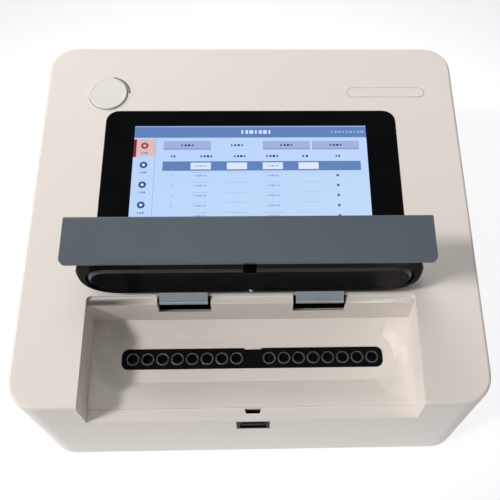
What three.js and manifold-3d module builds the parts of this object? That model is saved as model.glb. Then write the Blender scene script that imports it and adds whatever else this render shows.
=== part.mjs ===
// Bench-top thermal cycler for sixteen reaction tubes, with its lid standing open.
// Millimetres, +Z up, +X to the right, front face at -Y. The origin is the middle of the
// footprint, at the height of the surface that the feet stand on.

import * as THREE from 'three';
import { mergeVertices } from 'three/addons/utils/BufferGeometryUtils.js';
import Module from 'manifold-3d';

const wasm = await Module();
wasm.setup();

// ---------------------------------------------------------------- driving dimensions

const body = { width: 271, depth: 252, height: 105, corner: 17.5, edge: 2.2, wall: 3 };
const foot = { radius: 8, height: 4, insetX: 24, insetY: 22 };
const top = foot.height + body.height;          // height of the top face above the bench
const front = -body.depth / 2;                  // front face
const gap = 0.3;                                // clearance between pieces that meet
const cornerSteps = 4;                          // half the facets on each rounded corner

// The recess that the lid closes. Depths are measured down from the top face.
const pocket = {
  halfWidth: 96.2, rear: -58.5, lip: 2.4, wall: -63.3, ledge: 27.2, corner: 2.5,
  rimStart: -118.5, rim: 28.2,
};
const trough = { width: 188.6, depth: 44.8, y: -86, floor: 35, corner: 19.4 };
const wells = { perSide: 8, pitch: 9, first: 9.95, y: -85.7, bore: 6.3, ring: 7.7, length: 15 };
const strip = { width: 158.8, depth: 12.6, thickness: 3, corner: 4, waist: 11, waistDepth: 0.9 };

const hinge = { y: -50.5, z: top - 7.3, pin: 1.9, eye: 3.7, reach: 14.4 };
const bracket = { ear: 2.4, front: 4, back: 7.5, below: 4, above: 3.9, web: 2.2 };
const arm = { x: 39.9, width: 28.2, sideGap: 1.6, strap: 1.8, bend: 3.4 };
const armScrew = { spread: 8, below: 0.2, hole: 1.5, shank: 1.15, head: 2.6, headHeight: 0.7 };

const lid = { halfWidth: 95.7, skin: 2, rear: -58.95, flap: 27.3, flapCorner: 3.2 };
const tray = { halfWidth: 95.2, rear: -64.3, front: -109.1, face: 16.9, wall: 2.2, corner: 19 };
const heater = { halfWidth: 90.5, depth: 25.5, y: -83.05, face: 17.8, back: 12.6, bevel: 2.1, corner: 12 };

const glass = { width: 188.5, depth: 114.5, rear: 73, thickness: 1.5, corner: 8 };
const panel = { width: 162, depth: 102, y: 14.3, thickness: 6.2 };
const button = { x: -94.7, y: 86.9, radius: 12.5, proud: 1.4, travel: 1.5 };
const nameplate = { x: 89.7, y: 88.2, width: 51.8, depth: 7.4, thickness: 0.6 };
const latch = { width: 19.2, height: 16.5, z: top - 39.85, frame: 1.7, depth: 4, recess: 1, key: 6.5 };
const latchCatch = { width: 14, height: 12, top: top - 32.2, thickness: 6.2, window: 10.8, lip: 3 };
const tongue = { width: 6.8, root: 12, tip: 31, bend: 29, thickness: 2 };
const slot = { width: 9.9, frontWidth: 7.9, rear: -119.1, front: -122 };

// ---------------------------------------------------------------- finishes

const finishes = {
  ivory: { color: 0xe2d9ce, roughness: 0.55, metalness: 0 },
  cream: { color: 0xe9e4d4, roughness: 0.4, metalness: 0 },
  slate: { color: 0x565f68, roughness: 0.5, metalness: 0 },
  black: { color: 0x0b0b0d, roughness: 0.35, metalness: 0 },
  glass: { color: 0x050506, roughness: 0.08, metalness: 0 },
  rubber: { color: 0x1c1c1c, roughness: 0.85, metalness: 0 },
  steel: { color: 0xa9b0b5, roughness: 0.25, metalness: 1 },
  aluminium: { color: 0xb4b7ba, roughness: 0.4, metalness: 1 },
  ceramic: { color: 0xe8e6e0, roughness: 0.6, metalness: 0 },
  board: { color: 0x1d5a38, roughness: 0.5, metalness: 0 },
  foam: { color: 0x3a3a3c, roughness: 0.95, metalness: 0 },
};

// ---------------------------------------------------------------- outlines

// A rounded rectangle in the drawing plane, centred on (cx, cy).
function roundedRect(width, height, radius, cx = 0, cy = 0) {
  const x = width / 2 - radius;
  const y = height / 2 - radius;
  const shape = new THREE.Shape();
  shape.absarc(cx + x, cy + y, radius, 0, Math.PI / 2);
  shape.absarc(cx - x, cy + y, radius, Math.PI / 2, Math.PI);
  shape.absarc(cx - x, cy - y, radius, Math.PI, 1.5 * Math.PI);
  shape.absarc(cx + x, cy - y, radius, 1.5 * Math.PI, 2 * Math.PI);
  shape.closePath();
  return shape;
}

function rect(xLow, xHigh, yLow, yHigh) {
  return polygon([[xLow, yLow], [xHigh, yLow], [xHigh, yHigh], [xLow, yHigh]]);
}

function polygon(points) {
  return new THREE.Shape(points.map(([x, y]) => new THREE.Vector2(x, y)));
}

function circle(radius, cx = 0, cy = 0) {
  const shape = new THREE.Shape();
  shape.absarc(cx, cy, radius, 0, 2 * Math.PI);
  return shape;
}

// ---------------------------------------------------------------- solids

// Turns a closed geometry into a solid that can be joined and cut.
function solid(geometry) {
  const bare = geometry.clone();
  for (const name of Object.keys(bare.attributes)) {
    if (name !== 'position') bare.deleteAttribute(name);
  }
  const merged = mergeVertices(bare, 1e-4);
  return new wasm.Manifold(new wasm.Mesh({
    numProp: 3,
    vertProperties: new Float32Array(merged.attributes.position.array),
    triVerts: new Uint32Array(merged.index.array),
  }));
}

function extrude(shape, length, options = {}) {
  const settings = { depth: length, bevelEnabled: false, curveSegments: cornerSteps, ...options };
  return new THREE.ExtrudeGeometry(shape, settings);
}

// An outline in X and Y, standing from zLow to zHigh.
function upright(shape, zLow, zHigh, steps = cornerSteps) {
  return solid(extrude(shape, zHigh - zLow, { curveSegments: steps }).translate(0, 0, zLow));
}

// An outline in Y and Z, running along X.
function alongX(shape, xLow, xHigh, steps = cornerSteps) {
  const basis = new THREE.Matrix4().makeBasis(
    new THREE.Vector3(0, 1, 0), new THREE.Vector3(0, 0, 1), new THREE.Vector3(1, 0, 0));
  const geometry = extrude(shape, xHigh - xLow, { curveSegments: steps });
  return solid(geometry.applyMatrix4(basis).translate(xLow, 0, 0));
}

// An outline in X and Z, running along Y.
function alongY(shape, yLow, yHigh, steps = cornerSteps) {
  const basis = new THREE.Matrix4().makeBasis(
    new THREE.Vector3(1, 0, 0), new THREE.Vector3(0, 0, 1), new THREE.Vector3(0, -1, 0));
  const geometry = extrude(shape, yHigh - yLow, { curveSegments: steps });
  return solid(geometry.applyMatrix4(basis).translate(0, yHigh, 0));
}

function box(xLow, xHigh, yLow, yHigh, zLow, zHigh) {
  return upright(rect(xLow, xHigh, yLow, yHigh), zLow, zHigh);
}

// An outline in X and Y whose lower end shrinks by `size` at 45 degrees.
function tapered(shape, zLow, zHigh, size) {
  const bevel = {
    bevelEnabled: true, bevelThickness: size, bevelSize: size, bevelOffset: -size, bevelSegments: 1,
  };
  return solid(extrude(shape, zHigh - zLow - size, bevel).translate(0, 0, zLow + size));
}

// A profile of [radius, height] points turned about a vertical line through (x, y).
function turned(profile, x, y, steps = 24) {
  const points = profile.map(([radius, height]) => new THREE.Vector2(radius, height));
  const geometry = new THREE.LatheGeometry(points, steps);
  return solid(geometry.rotateX(Math.PI / 2).translate(x, y, 0));
}

// A round bar standing at (x, y).
function bar(radius, zLow, zHigh, x, y, steps = 24) {
  return turned([[0, zLow], [radius, zLow], [radius, zHigh], [0, zHigh]], x, y, steps);
}

function rodAlongX(radius, xLow, xHigh, y, z, steps = 9) {
  return alongX(circle(radius, y, z), xLow, xHigh, steps);
}

function joined(pieces) {
  return pieces.reduce((whole, piece) => whole.add(piece));
}

const parts = new THREE.Group();
const lidGroup = new THREE.Group();

// Adds a finished piece under its own name.
function place(name, piece, finish, group = parts) {
  const mesh = piece.getMesh();
  const geometry = new THREE.BufferGeometry();
  geometry.setAttribute('position', new THREE.BufferAttribute(new Float32Array(mesh.vertProperties), 3));
  geometry.setIndex(new THREE.BufferAttribute(new Uint32Array(mesh.triVerts), 1));
  geometry.computeVertexNormals();
  const node = new THREE.Mesh(geometry, new THREE.MeshStandardMaterial(finishes[finish]));
  node.name = name;
  group.add(node);
}

const sides = [['left', -1], ['right', 1]];
const corners = [[-1, -1], [1, -1], [-1, 1], [1, 1]];

// ---------------------------------------------------------------- housing

// Cross-section of the lid recess in Y and Z, grown outwards by `grow`.
function pocketSection(grow) {
  const open = top + 20;
  return polygon([
    [front - 20, top - pocket.rim - grow],
    [pocket.rimStart + grow, top - pocket.rim - grow],
    [pocket.rimStart + grow, top - pocket.ledge - grow],
    [pocket.wall + grow, top - pocket.ledge - grow],
    [pocket.wall + grow, top - pocket.lip - grow],
    [pocket.rear + grow, top - pocket.lip - grow],
    [pocket.rear + grow, open],
    [front - 20, open],
  ]);
}

function troughCut(grow) {
  const outline = roundedRect(trough.width + 2 * grow, trough.depth + 2 * grow,
    trough.corner + grow, 0, trough.y);
  const slope = trough.floor - pocket.ledge;
  return tapered(outline, top - trough.floor - grow, top + 20, slope);
}

// The space that a hinge arm sweeps as the lid turns, behind and under the recess lip.
function armSweep(sign) {
  const half = arm.width / 2 + arm.sideGap;
  const low = sign * arm.x - half;
  const high = sign * arm.x + half;
  const slotRear = pocket.rear + 0.5;
  const underSkin = rect(-80, -30, top - 40, top - body.wall - 0.1);
  const swept = alongX(circle(hinge.reach, hinge.y, hinge.z), low, high, 24)
    .intersect(alongX(underSkin, low, high));
  return swept.add(box(low, high, pocket.wall - 1, slotRear, top - body.wall - 2, top + 1));
}

function latchSlot(zLow, zHigh) {
  return upright(polygon([
    [-slot.frontWidth / 2, slot.front], [slot.frontWidth / 2, slot.front],
    [slot.width / 2, slot.rear], [-slot.width / 2, slot.rear],
  ]), zLow, zHigh);
}

// The crescent beside the power button, between two circles and two radial ends.
function crescent(inner, outer, zLow, zHigh) {
  const start = 0.05;
  const end = 1.42;
  const shape = new THREE.Shape();
  shape.absarc(button.x, button.y, inner, start, end, false);
  shape.absarc(button.x + 0.35, button.y, outer - 0.35, end, start, true);
  shape.closePath();
  return upright(shape, zLow, zHigh, 5);
}

const boss = { radius: 6.4, low: 9, high: 36, bore: 1.9, boreTop: 24, inset: 8 };

function screwBoss(sx, sy) {
  const inset = body.wall + boss.inset;
  return { x: sx * (body.width / 2 - inset), y: sy * (body.depth / 2 - inset) };
}

const baseLevel = foot.height + 0.6;            // lower edge of the housing walls
const panThickness = 2.6;
const moduleRoof = top - 10;                    // how far the display and the button reach down through the skin

function upperHousing() {
  const outline = roundedRect(body.width, body.depth, body.corner);
  const bevel = {
    bevelEnabled: true, bevelThickness: body.edge, bevelSize: body.edge, bevelOffset: -body.edge, bevelSegments: 4,
  };
  const height = top - baseLevel;
  let shell = solid(extrude(outline, height - body.edge, bevel).translate(0, 0, baseLevel));
  shell = shell.intersect(box(-200, 200, -200, 200, baseLevel, top + 1));

  const inner = roundedRect(body.width - 2 * body.wall, body.depth - 2 * body.wall, body.corner - body.wall);
  const tub = alongX(pocketSection(body.wall), -pocket.halfWidth - body.wall, pocket.halfWidth + body.wall)
    .add(troughCut(body.wall));
  let cavity = upright(inner, baseLevel - 1, top - body.wall).subtract(tub);
  for (const [sx, sy] of corners) {
    const { x, y } = screwBoss(sx, sy);
    cavity = cavity.subtract(bar(boss.radius, boss.low, boss.high, x, y, 16));
  }
  shell = shell.subtract(cavity);

  const recess = roundedRect(2 * pocket.halfWidth, 400, pocket.corner, 0, pocket.rear - 200);
  shell = shell.subtract(alongX(pocketSection(0), -pocket.halfWidth, pocket.halfWidth)
    .intersect(upright(recess, 0, top + 40, 4)));
  shell = shell.subtract(troughCut(0));

  const lipEdge = polygon([
    [pocket.wall - 0.1, top - pocket.lip + 0.1], [pocket.wall + 0.9, top - pocket.lip + 0.1],
    [pocket.wall - 0.1, top - pocket.lip - 0.9],
  ]);
  const frontEdge = polygon([
    [front - 0.1, top - pocket.rim + 0.1], [front + 1.5, top - pocket.rim + 0.1],
    [front + 0.4, top - pocket.rim - 0.4], [front - 0.1, top - pocket.rim - 1.5],
  ]);
  shell = shell.subtract(alongX(lipEdge, -pocket.halfWidth, pocket.halfWidth));
  shell = shell.subtract(alongX(frontEdge, -pocket.halfWidth, pocket.halfWidth));

  const cuts = [
    upright(roundedRect(glass.width + 2 * gap, glass.depth + 2 * gap, glass.corner + gap, 0,
      glass.rear - glass.depth / 2), top - 1.6, top + 1),
    box(-panel.width / 2 - gap, panel.width / 2 + gap, panel.y - panel.depth / 2 - gap,
      panel.y + panel.depth / 2 + gap, moduleRoof, top),
    bar(button.radius + 0.45, moduleRoof, top + 1, button.x, button.y, 32),
    crescent(button.radius + 0.8, button.radius + 2.2, top - 1.2, top + 1),
    upright(roundedRect(nameplate.width + 2 * gap, nameplate.depth + 2 * gap, nameplate.depth / 2 + gap,
      nameplate.x, nameplate.y), top - 0.8, top + 1),
    stripColumn(gap, top - 60, blockTop + 1),
    armSweep(-1),
    armSweep(1),
    latchSlot(top - 45, top),
    alongY(rect(-latch.width / 2 - gap, latch.width / 2 + gap, latch.z - latch.height / 2 - gap,
      latch.z + latch.height / 2 + gap), front - 1, front + body.wall + 2),
    ...rearCuts(),
    ...corners.map(([sx, sy]) => {
      const { x, y } = screwBoss(sx, sy);
      return bar(boss.bore, 0, boss.boreTop, x, y, 12);
    }),
  ];
  place('upper_housing', shell.subtract(joined(cuts)), 'ivory');
}

// ---------------------------------------------------------------- rear panel openings

const rear = body.depth / 2;
const jack = { x: 92, z: 30, radius: 6, bore: 3.2, pin: 1.05 };
const dataPort = { x: 66, z: 30, width: 14, height: 7.2 };
const grille = { slots: 14, pitch: 7, width: 3, low: 24, high: 72 };

function rearCuts() {
  const slots = Array.from({ length: grille.slots }, (_, i) => {
    const x = (i - (grille.slots - 1) / 2) * grille.pitch;
    return box(x - grille.width / 2, x + grille.width / 2, rear - 6, rear + 1, grille.low, grille.high);
  });
  const jackHole = alongY(circle(jack.radius + gap, jack.x, jack.z), rear - 6, rear + 1, 9);
  const portHole = alongY(roundedRect(dataPort.width + 2 * gap, dataPort.height + 2 * gap, 1, dataPort.x, dataPort.z),
    rear - 6, rear + 1);
  return [...slots, jackHole, portHole];
}

function rearSockets() {
  const barrel = alongY(circle(jack.radius, jack.x, jack.z), rear - 16, rear - 0.5, 9)
    .subtract(alongY(circle(jack.bore, jack.x, jack.z), rear - 12, rear, 7))
    .add(alongY(circle(jack.pin, jack.x, jack.z), rear - 13, rear - 2, 4));
  place('power_socket', barrel, 'black');
  const shell = alongY(roundedRect(dataPort.width, dataPort.height, 0.8, dataPort.x, dataPort.z), rear - 16, rear - 0.5)
    .subtract(alongY(rect(dataPort.x - 6.2, dataPort.x + 6.2, dataPort.z - 2.6, dataPort.z + 2.6), rear - 12, rear))
    .add(alongY(rect(dataPort.x - 5.4, dataPort.x + 5.4, dataPort.z + 0.3, dataPort.z + 2), rear - 13, rear - 2));
  place('data_socket', shell, 'steel');
}

// ---------------------------------------------------------------- base and feet

function base() {
  const inset = body.wall + 0.4;
  const outline = roundedRect(body.width - 2 * inset, body.depth - 2 * inset, body.corner - inset);
  let pan = upright(outline, foot.height, foot.height + panThickness);
  const slots = Array.from({ length: 10 }, (_, i) => {
    const x = (i - 4.5) * 10;
    return box(x - 2, x + 2, -104, -64, 0, 10);
  });
  pan = pan.subtract(joined(slots));
  for (const [sx, sy] of corners) {
    const { x, y } = screwBoss(sx, sy);
    pan = pan.subtract(turned([[0, 3], [3.6, 3], [3.6, 5.3], [2, 5.3], [2, 10], [0, 10]], x, y, 16));
  }
  place('base_pan', pan, 'slate');

  corners.forEach(([sx, sy], i) => {
    const { x, y } = screwBoss(sx, sy);
    const screw = turned([[0, 4.2], [3.1, 4.2], [3.1, 5.1], [1.5, 5.2], [1.5, 18], [0, 18.8]], x, y, 12);
    place(`base_screw_${i + 1}`, screw.subtract(box(x - 2, x + 2, y - 0.4, y + 0.4, 4, 4.8)), 'steel');
    const r = foot.radius;
    const profile = [[0, 0], [r - 1.2, 0], [r, 1.2], [r, foot.height - 0.1], [0, foot.height - 0.1]];
    place(`foot_${i + 1}`, turned(profile, sx * (body.width / 2 - foot.insetX), sy * (body.depth / 2 - foot.insetY)),
      'rubber');
  });
}

// ---------------------------------------------------------------- tube block and cooling

function wellPositions() {
  return Array.from({ length: wells.perSide }, (_, i) => wells.first + i * wells.pitch)
    .flatMap((x) => [-x, x]);
}

const blockTop = top - trough.floor;

// The strip's plan, grown outwards by `grow`, with a small waist in its rear edge between the two groups.
function stripColumn(grow, zLow, zHigh) {
  const outline = roundedRect(strip.width + 2 * grow, strip.depth + 2 * grow, strip.corner + grow, 0, wells.y);
  const half = strip.waist / 2 - grow;
  const edge = wells.y + strip.depth / 2 - strip.waistDepth + grow;
  return upright(outline, zLow, zHigh).subtract(box(-half, half, edge, edge + 5, zLow - 1, zHigh + 1));
}

function tubeBlock() {
  const plate = stripColumn(0, blockTop - strip.thickness, blockTop + 0.2);
  const holes = wellPositions().map((x) => bar(wells.ring / 2 + gap, 0, top, x, wells.y, 16));
  place('well_strip', plate.subtract(joined(holes)), 'black');

  const slabTop = blockTop - strip.thickness - gap;
  const slabBottom = blockTop - wells.length - 2;
  const half = wells.first + (wells.perSide - 1) * wells.pitch + 5.5;
  let block = box(-half, half, wells.y - 5.8, wells.y + 5.8, slabBottom, slabTop);
  const straight = 4.5;
  const tipRadius = 1.4;
  const cups = [];
  const bosses = [];
  for (const x of wellPositions()) {
    const lip = blockTop + 0.1;
    bosses.push(bar(wells.ring / 2, slabTop - 1, lip, x, wells.y, 16));
    cups.push(turned([
      [0, lip - wells.length], [tipRadius, lip - wells.length], [wells.bore / 2, lip - straight],
      [wells.bore / 2, lip + 1], [0, lip + 1],
    ], x, wells.y, 16));
  }
  block = block.add(joined(bosses)).subtract(joined(cups));
  place('well_block', block, 'aluminium');
  return slabBottom;
}

function cooling(blockBottom) {
  const pump = { length: 76, depth: 24, thickness: 3.6 };
  for (const [side, sign] of sides) {
    const x = sign * (pump.length / 2 + 1);
    const high = blockBottom - gap;
    place(`heat_pump_${side}`, upright(roundedRect(pump.length, pump.depth, 1, x, wells.y), high - pump.thickness, high),
      'ceramic');
  }
  const sinkTop = blockBottom - 2 * gap - pump.thickness;
  const sink = { half: 78, yLow: -114, yHigh: -60, base: 6, fins: 18, fin: 1.8, low: 22 };
  const fins = Array.from({ length: sink.fins }, (_, i) => {
    const x = -sink.half + (i * (2 * sink.half - sink.fin)) / (sink.fins - 1);
    return box(x, x + sink.fin, sink.yLow, sink.yHigh, sink.low, sinkTop - sink.base + 0.5);
  });
  const plate = box(-sink.half, sink.half, sink.yLow, sink.yHigh, sinkTop - sink.base, sinkTop);
  place('heat_sink', plate.add(joined(fins)), 'aluminium');

  const fan = { size: 60, depth: 15, yLow: -54, z: 39, bore: 28, hub: 11 };
  const yHigh = fan.yLow + fan.depth;
  let frame = alongY(roundedRect(fan.size, fan.size, 4, 0, fan.z), fan.yLow, yHigh)
    .subtract(alongY(circle(fan.bore, 0, fan.z), fan.yLow - 1, yHigh + 1, 14));
  const strut = box(-1.5, 1.5, yHigh - 2, yHigh, fan.z - fan.bore - 1, fan.z + fan.bore + 1);
  const crossStrut = box(-fan.bore - 1, fan.bore + 1, yHigh - 2, yHigh, fan.z - 1.5, fan.z + 1.5);
  const hubPlate = alongY(circle(9, 0, fan.z), yHigh - 2, yHigh, 8);
  frame = frame.add(strut).add(crossStrut).add(hubPlate);
  place('fan_frame', frame, 'black');

  const blades = 7;
  let rotor = alongY(circle(fan.hub, 0, fan.z), fan.yLow + 1, yHigh - 2.6, 9);
  for (let i = 0; i < blades; i += 1) {
    const blade = new THREE.BoxGeometry(1.4, 11, fan.bore - fan.hub);
    blade.rotateZ(0.7);
    blade.translate(0, fan.yLow + 6.6, (fan.bore + fan.hub) / 2 - 1.2);
    blade.rotateY((i * 2 * Math.PI) / blades);
    rotor = rotor.add(solid(blade.translate(0, 0, fan.z)));
  }
  place('fan_rotor', rotor, 'black');
}

// ---------------------------------------------------------------- display and electronics

function display() {
  const middle = glass.rear - glass.depth / 2;
  place('display_glass', upright(roundedRect(glass.width, glass.depth, glass.corner, 0, middle),
    top - 1.3, top - 1.3 + glass.thickness), 'glass');
  const panelTop = top - 1.3 - gap;
  const module = upright(roundedRect(panel.width, panel.depth, 1.5, 0, panel.y), panelTop - panel.thickness, panelTop)
    .subtract(box(-50, 50, panel.y - 30, panel.y + 30, panelTop - 10, panelTop - panel.thickness + 1.5));
  place('display_panel', module, 'steel');

  const boards = [
    ['main_board', { x: -30, y: 48, width: 150, depth: 110, z: 16 }],
    ['display_board', { x: 0, y: panel.y, width: 96, depth: 56, z: panelTop - panel.thickness - 6 }],
  ];
  for (const [name, b] of boards) {
    let board = upright(roundedRect(b.width, b.depth, 2, b.x, b.y), b.z, b.z + 1.6, 3);
    for (const [sx, sy] of corners) {
      board = board.subtract(bar(1.7, b.z - 1, b.z + 3, b.x + sx * (b.width / 2 - 5), b.y + sy * (b.depth / 2 - 5), 8));
    }
    place(name, board, 'board');
  }
  const supply = tapered(roundedRect(54, 100, 2, 92, 52), 44, 78, 1);
  place('power_supply', supply.subtract(box(70, 114, 20, 84, 70, 80)), 'aluminium');
}

function powerButton() {
  const { x, y, radius, proud, travel } = button;
  const high = top + proud;
  const stemFoot = top - 6;
  const skirtFoot = top - 3.2;
  const cap = turned([
    [0, stemFoot], [3, stemFoot], [3, skirtFoot], [radius, skirtFoot], [radius, high - 0.9],
    [radius - 0.9, high], [0, high - 0.35],
  ], x, y, 32);
  place('power_button', cap, 'cream');

  const low = top - 16;
  place('button_switch', box(x - 6, x + 6, y - 6, y + 6, low, low + 4)
    .add(bar(1.8, low + 3, stemFoot - travel - gap, x, y, 12)), 'black');

  const spring = { radius: 4.6, wire: 0.4, turns: 3, rise: 7, knots: 24 };
  const coil = new THREE.CatmullRomCurve3(Array.from({ length: spring.knots + 1 }, (_, i) => {
    const share = i / spring.knots;
    const turn = share * spring.turns * 2 * Math.PI;
    return new THREE.Vector3(x + spring.radius * Math.cos(turn), y + spring.radius * Math.sin(turn),
      low + 5 + share * spring.rise);
  }));
  const wire = new THREE.ExtrudeGeometry(circle(spring.wire), { steps: 36, extrudePath: coil, curveSegments: 3 });
  place('button_spring', solid(wire), 'steel');
  place('status_light', crescent(button.radius + 1, button.radius + 2, top - 1, top - 0.3), 'slate');
}

function namePlate() {
  const { x, y, width, depth, thickness } = nameplate;
  place('nameplate', upright(roundedRect(width, depth, depth / 2, x, y), top - 0.5, top - 0.5 + thickness, 6), 'cream');
}

// ---------------------------------------------------------------- front latch

function frontLatch() {
  const { width, height, z, frame, depth, recess, key } = latch;
  const yBack = front + depth;
  const opening = roundedRect(width - 2 * frame, height - 2 * frame, 1, 0, z);
  place('latch_bezel', alongY(roundedRect(width, height, 0.8, 0, z), front + 0.2, yBack)
    .subtract(alongY(opening, front - 1, yBack + 1)), 'black');
  const keyWidth = width - 2 * frame - 0.8;
  const keyHeight = height - 2 * frame - 0.8;
  const keyFace = front + recess;
  const ridge = alongY(roundedRect(keyWidth - 2, 2.4, 1.1, 0, z + 1), keyFace - 0.6, keyFace + 1);
  place('latch_button', alongY(roundedRect(keyWidth, keyHeight, 0.8, 0, z), keyFace, keyFace + key).add(ridge), 'black');

  const catchFace = keyFace + key + gap;
  const plate = box(-latchCatch.width / 2, latchCatch.width / 2, catchFace, catchFace + latchCatch.thickness,
    latchCatch.top - latchCatch.height, latchCatch.top);
  const window = box(-latchCatch.window / 2, latchCatch.window / 2, catchFace - 1, catchFace + 1.4,
    latchCatch.top - latchCatch.lip, latchCatch.top + 1);
  place('latch_catch', plate.subtract(window), 'steel');
}

// ---------------------------------------------------------------- hinges

function hinges() {
  for (const [side, sign] of sides) {
    const { ear, front: ahead, back: behind, below, above, web } = bracket;
    const reach = arm.width / 2 + arm.sideGap + gap + ear;
    const low = sign * arm.x - reach;
    const high = sign * arm.x + reach;
    const earShape = rect(hinge.y - ahead, hinge.y + behind, hinge.z - below, hinge.z + above);
    const back = box(low, high, hinge.y + behind - web, hinge.y + behind, hinge.z - below, hinge.z + above);
    const fork = joined([alongX(earShape, low, low + ear), alongX(earShape, high - ear, high), back])
      .subtract(rodAlongX(hinge.pin + gap, low - 1, high + 1, hinge.y, hinge.z));
    place(`hinge_bracket_${side}`, fork, 'steel');
    place(`hinge_pin_${side}`, rodAlongX(hinge.pin, low - 0.6, high + 0.6, hinge.y, hinge.z), 'steel');
  }
}

// Bent strap from the lid tray to the hinge pin, drawn with the lid open. Distances are from the pin.
function hingeArm(sign) {
  const bendY = -9.1;
  const bendZ = 4.3;
  const outer = arm.bend;
  const inner = outer - arm.strap;
  const plateTop = 13.3;
  const plateBack = 4;
  const plateFront = -5;
  const slope = plateTop - plateFront;            // the middle run leans back at 45 degrees
  const shape = new THREE.Shape();
  shape.moveTo(plateBack, plateTop);
  shape.lineTo(plateFront, plateTop);
  shape.lineTo(bendY - outer * Math.SQRT1_2, bendY - outer * Math.SQRT1_2 + slope - 0.2);
  shape.absarc(bendY, bendZ, outer, 0.75 * Math.PI, 1.5 * Math.PI, false);
  shape.lineTo(0, -hinge.eye + 0.6);
  shape.lineTo(0, 1.2);
  shape.lineTo(bendY, bendZ - inner);
  shape.absarc(bendY, bendZ, inner, 1.5 * Math.PI, 0.75 * Math.PI, true);
  shape.lineTo(plateFront + 0.75, plateTop - arm.strap);
  shape.lineTo(plateBack, plateTop - arm.strap);
  shape.closePath();
  const low = sign * arm.x - arm.width / 2;
  const high = sign * arm.x + arm.width / 2;
  return alongX(shape, low, high)
    .add(rodAlongX(hinge.eye, low, high, 0, 0))
    .subtract(rodAlongX(hinge.pin + gap, low - 1, high + 1, 0, 0));
}

// ---------------------------------------------------------------- lid, drawn closed

// Shifts a piece drawn closed in place so that the hinge pin is its origin.
function fromPin(piece) {
  return piece.translate([0, -hinge.y, -hinge.z]);
}

function placeOnLid(name, piece, finish) {
  place(name, fromPin(piece), finish, lidGroup);
}

function lidShell() {
  const { halfWidth, skin, rear: back, flap } = lid;
  const round = 1.6;
  const section = new THREE.Shape();
  section.moveTo(back, top);
  section.absarc(front + round, top - round, round, Math.PI / 2, Math.PI, false);
  section.lineTo(front, top - flap);
  section.lineTo(front + skin, top - flap);
  section.lineTo(front + skin, top - skin);
  section.lineTo(back - 1.25, top - skin);
  section.lineTo(back - 0.65, top - 1.1);
  section.lineTo(back, top - 0.2);
  section.closePath();
  let shell = alongX(section, -halfWidth, halfWidth);
  const face = roundedRect(2 * halfWidth, 100, lid.flapCorner, 0, top - flap + 50);
  shell = shell.intersect(alongY(face, front - 1, back + 1));
  const plan = roundedRect(2 * halfWidth, 300, 2, 0, back - 150);
  shell = shell.intersect(upright(plan, 0, top + 10, 4));
  placeOnLid('lid_shell', shell, 'slate');
}

function lidTray() {
  const { halfWidth, rear: back, front: ahead, face, wall, corner } = tray;
  const middle = (back + ahead) / 2;
  const depth = back - ahead;
  const low = top - face;
  const high = top - lid.skin - gap;
  let shell = tapered(roundedRect(2 * halfWidth, depth, corner, 0, middle), low, high + 1, 0.8)
    .intersect(box(-200, 200, -200, 0, 0, high));
  shell = shell.subtract(upright(roundedRect(2 * (halfWidth - wall), depth - 2 * wall, corner - wall, 0, middle),
    low + wall, high + 1));
  const clear = 0.8;
  shell = shell.subtract(upright(roundedRect(2 * (heater.halfWidth + clear), heater.depth + 2 * clear,
    heater.corner + clear, 0, heater.y), low - 1, low + 5));
  shell = shell.subtract(joined(armScrews().map(([x, z]) => alongY(circle(armScrew.hole, x, z), back - 6, back + 1, 5))));
  placeOnLid('lid_tray', shell, 'black');
}

// Where each hinge arm is screwed to the tray's rear wall.
function armScrews() {
  return sides.flatMap(([, sign]) => [-1, 1].map((way) => [
    sign * arm.x + way * armScrew.spread, hinge.z - armScrew.below,
  ]));
}

function heaterParts() {
  const low = top - heater.face;
  const outline = roundedRect(2 * heater.halfWidth, heater.depth, heater.corner, 0, heater.y);
  const plate = tapered(outline, low, low + 5 + heater.bevel, heater.bevel)
    .intersect(box(-200, 200, -200, 0, 0, top - heater.back));
  placeOnLid('heater_plate', plate, 'black');

  const pad = upright(roundedRect(2 * heater.halfWidth - 8, heater.depth - 4, 8, 0, heater.y),
    top - heater.back + 2.4, top - lid.skin - 3.2);
  placeOnLid('heater_insulation', pad, 'foam');
  const cover = upright(roundedRect(2 * heater.halfWidth - 4, heater.depth, 10, 0, heater.y),
    top - lid.skin - 2.6, top - lid.skin - gap);
  placeOnLid('heater_backing', cover, 'steel');
}

function lidHook() {
  const { width, root, tip, bend, thickness } = tongue;
  const fixed = front + lid.skin + gap;
  const inner = fixed + 2.1;
  const outline = polygon([
    [fixed, top - root], [inner + thickness, top - root], [inner + thickness, top - bend],
    [inner + thickness - 0.8, top - tip], [inner, top - tip], [inner, top - root - 4], [fixed, top - root - 2.4],
  ]);
  placeOnLid('latch_hook', alongX(outline, -width / 2, width / 2), 'black');
}

// The arms are drawn with the lid open, so they turn a quarter turn to join the closed lid.
function hingeArms() {
  for (const [side, sign] of sides) {
    const holes = armScrews().map(([x, z]) => alongY(circle(armScrew.hole, x, z - hinge.z), -20, -8, 5));
    place(`hinge_arm_${side}`, hingeArm(sign).rotate([90, 0, 0]).subtract(joined(holes)), 'steel', lidGroup);
  }
}

function armFasteners() {
  armScrews().forEach(([x, z], i) => {
    const seat = tray.rear + arm.strap + 0.6;
    const head = alongY(circle(armScrew.head, x, z), seat, seat + armScrew.headHeight, 7);
    const shank = alongY(circle(armScrew.shank, x, z), seat - 7, seat + 0.2, 5);
    placeOnLid(`arm_screw_${i + 1}`, head.add(shank), 'steel');
  });
}

// ---------------------------------------------------------------- assembly

upperHousing();
rearSockets();
base();
cooling(tubeBlock());
display();
powerButton();
namePlate();
frontLatch();
hinges();
lidShell();
lidTray();
heaterParts();
lidHook();
hingeArms();
armFasteners();

// The lid stands square to the top face, a quarter turn back from closed.
lidGroup.position.set(0, hinge.y, hinge.z);
lidGroup.rotation.x = -Math.PI / 2;
parts.add(lidGroup);

export default parts;
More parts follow.
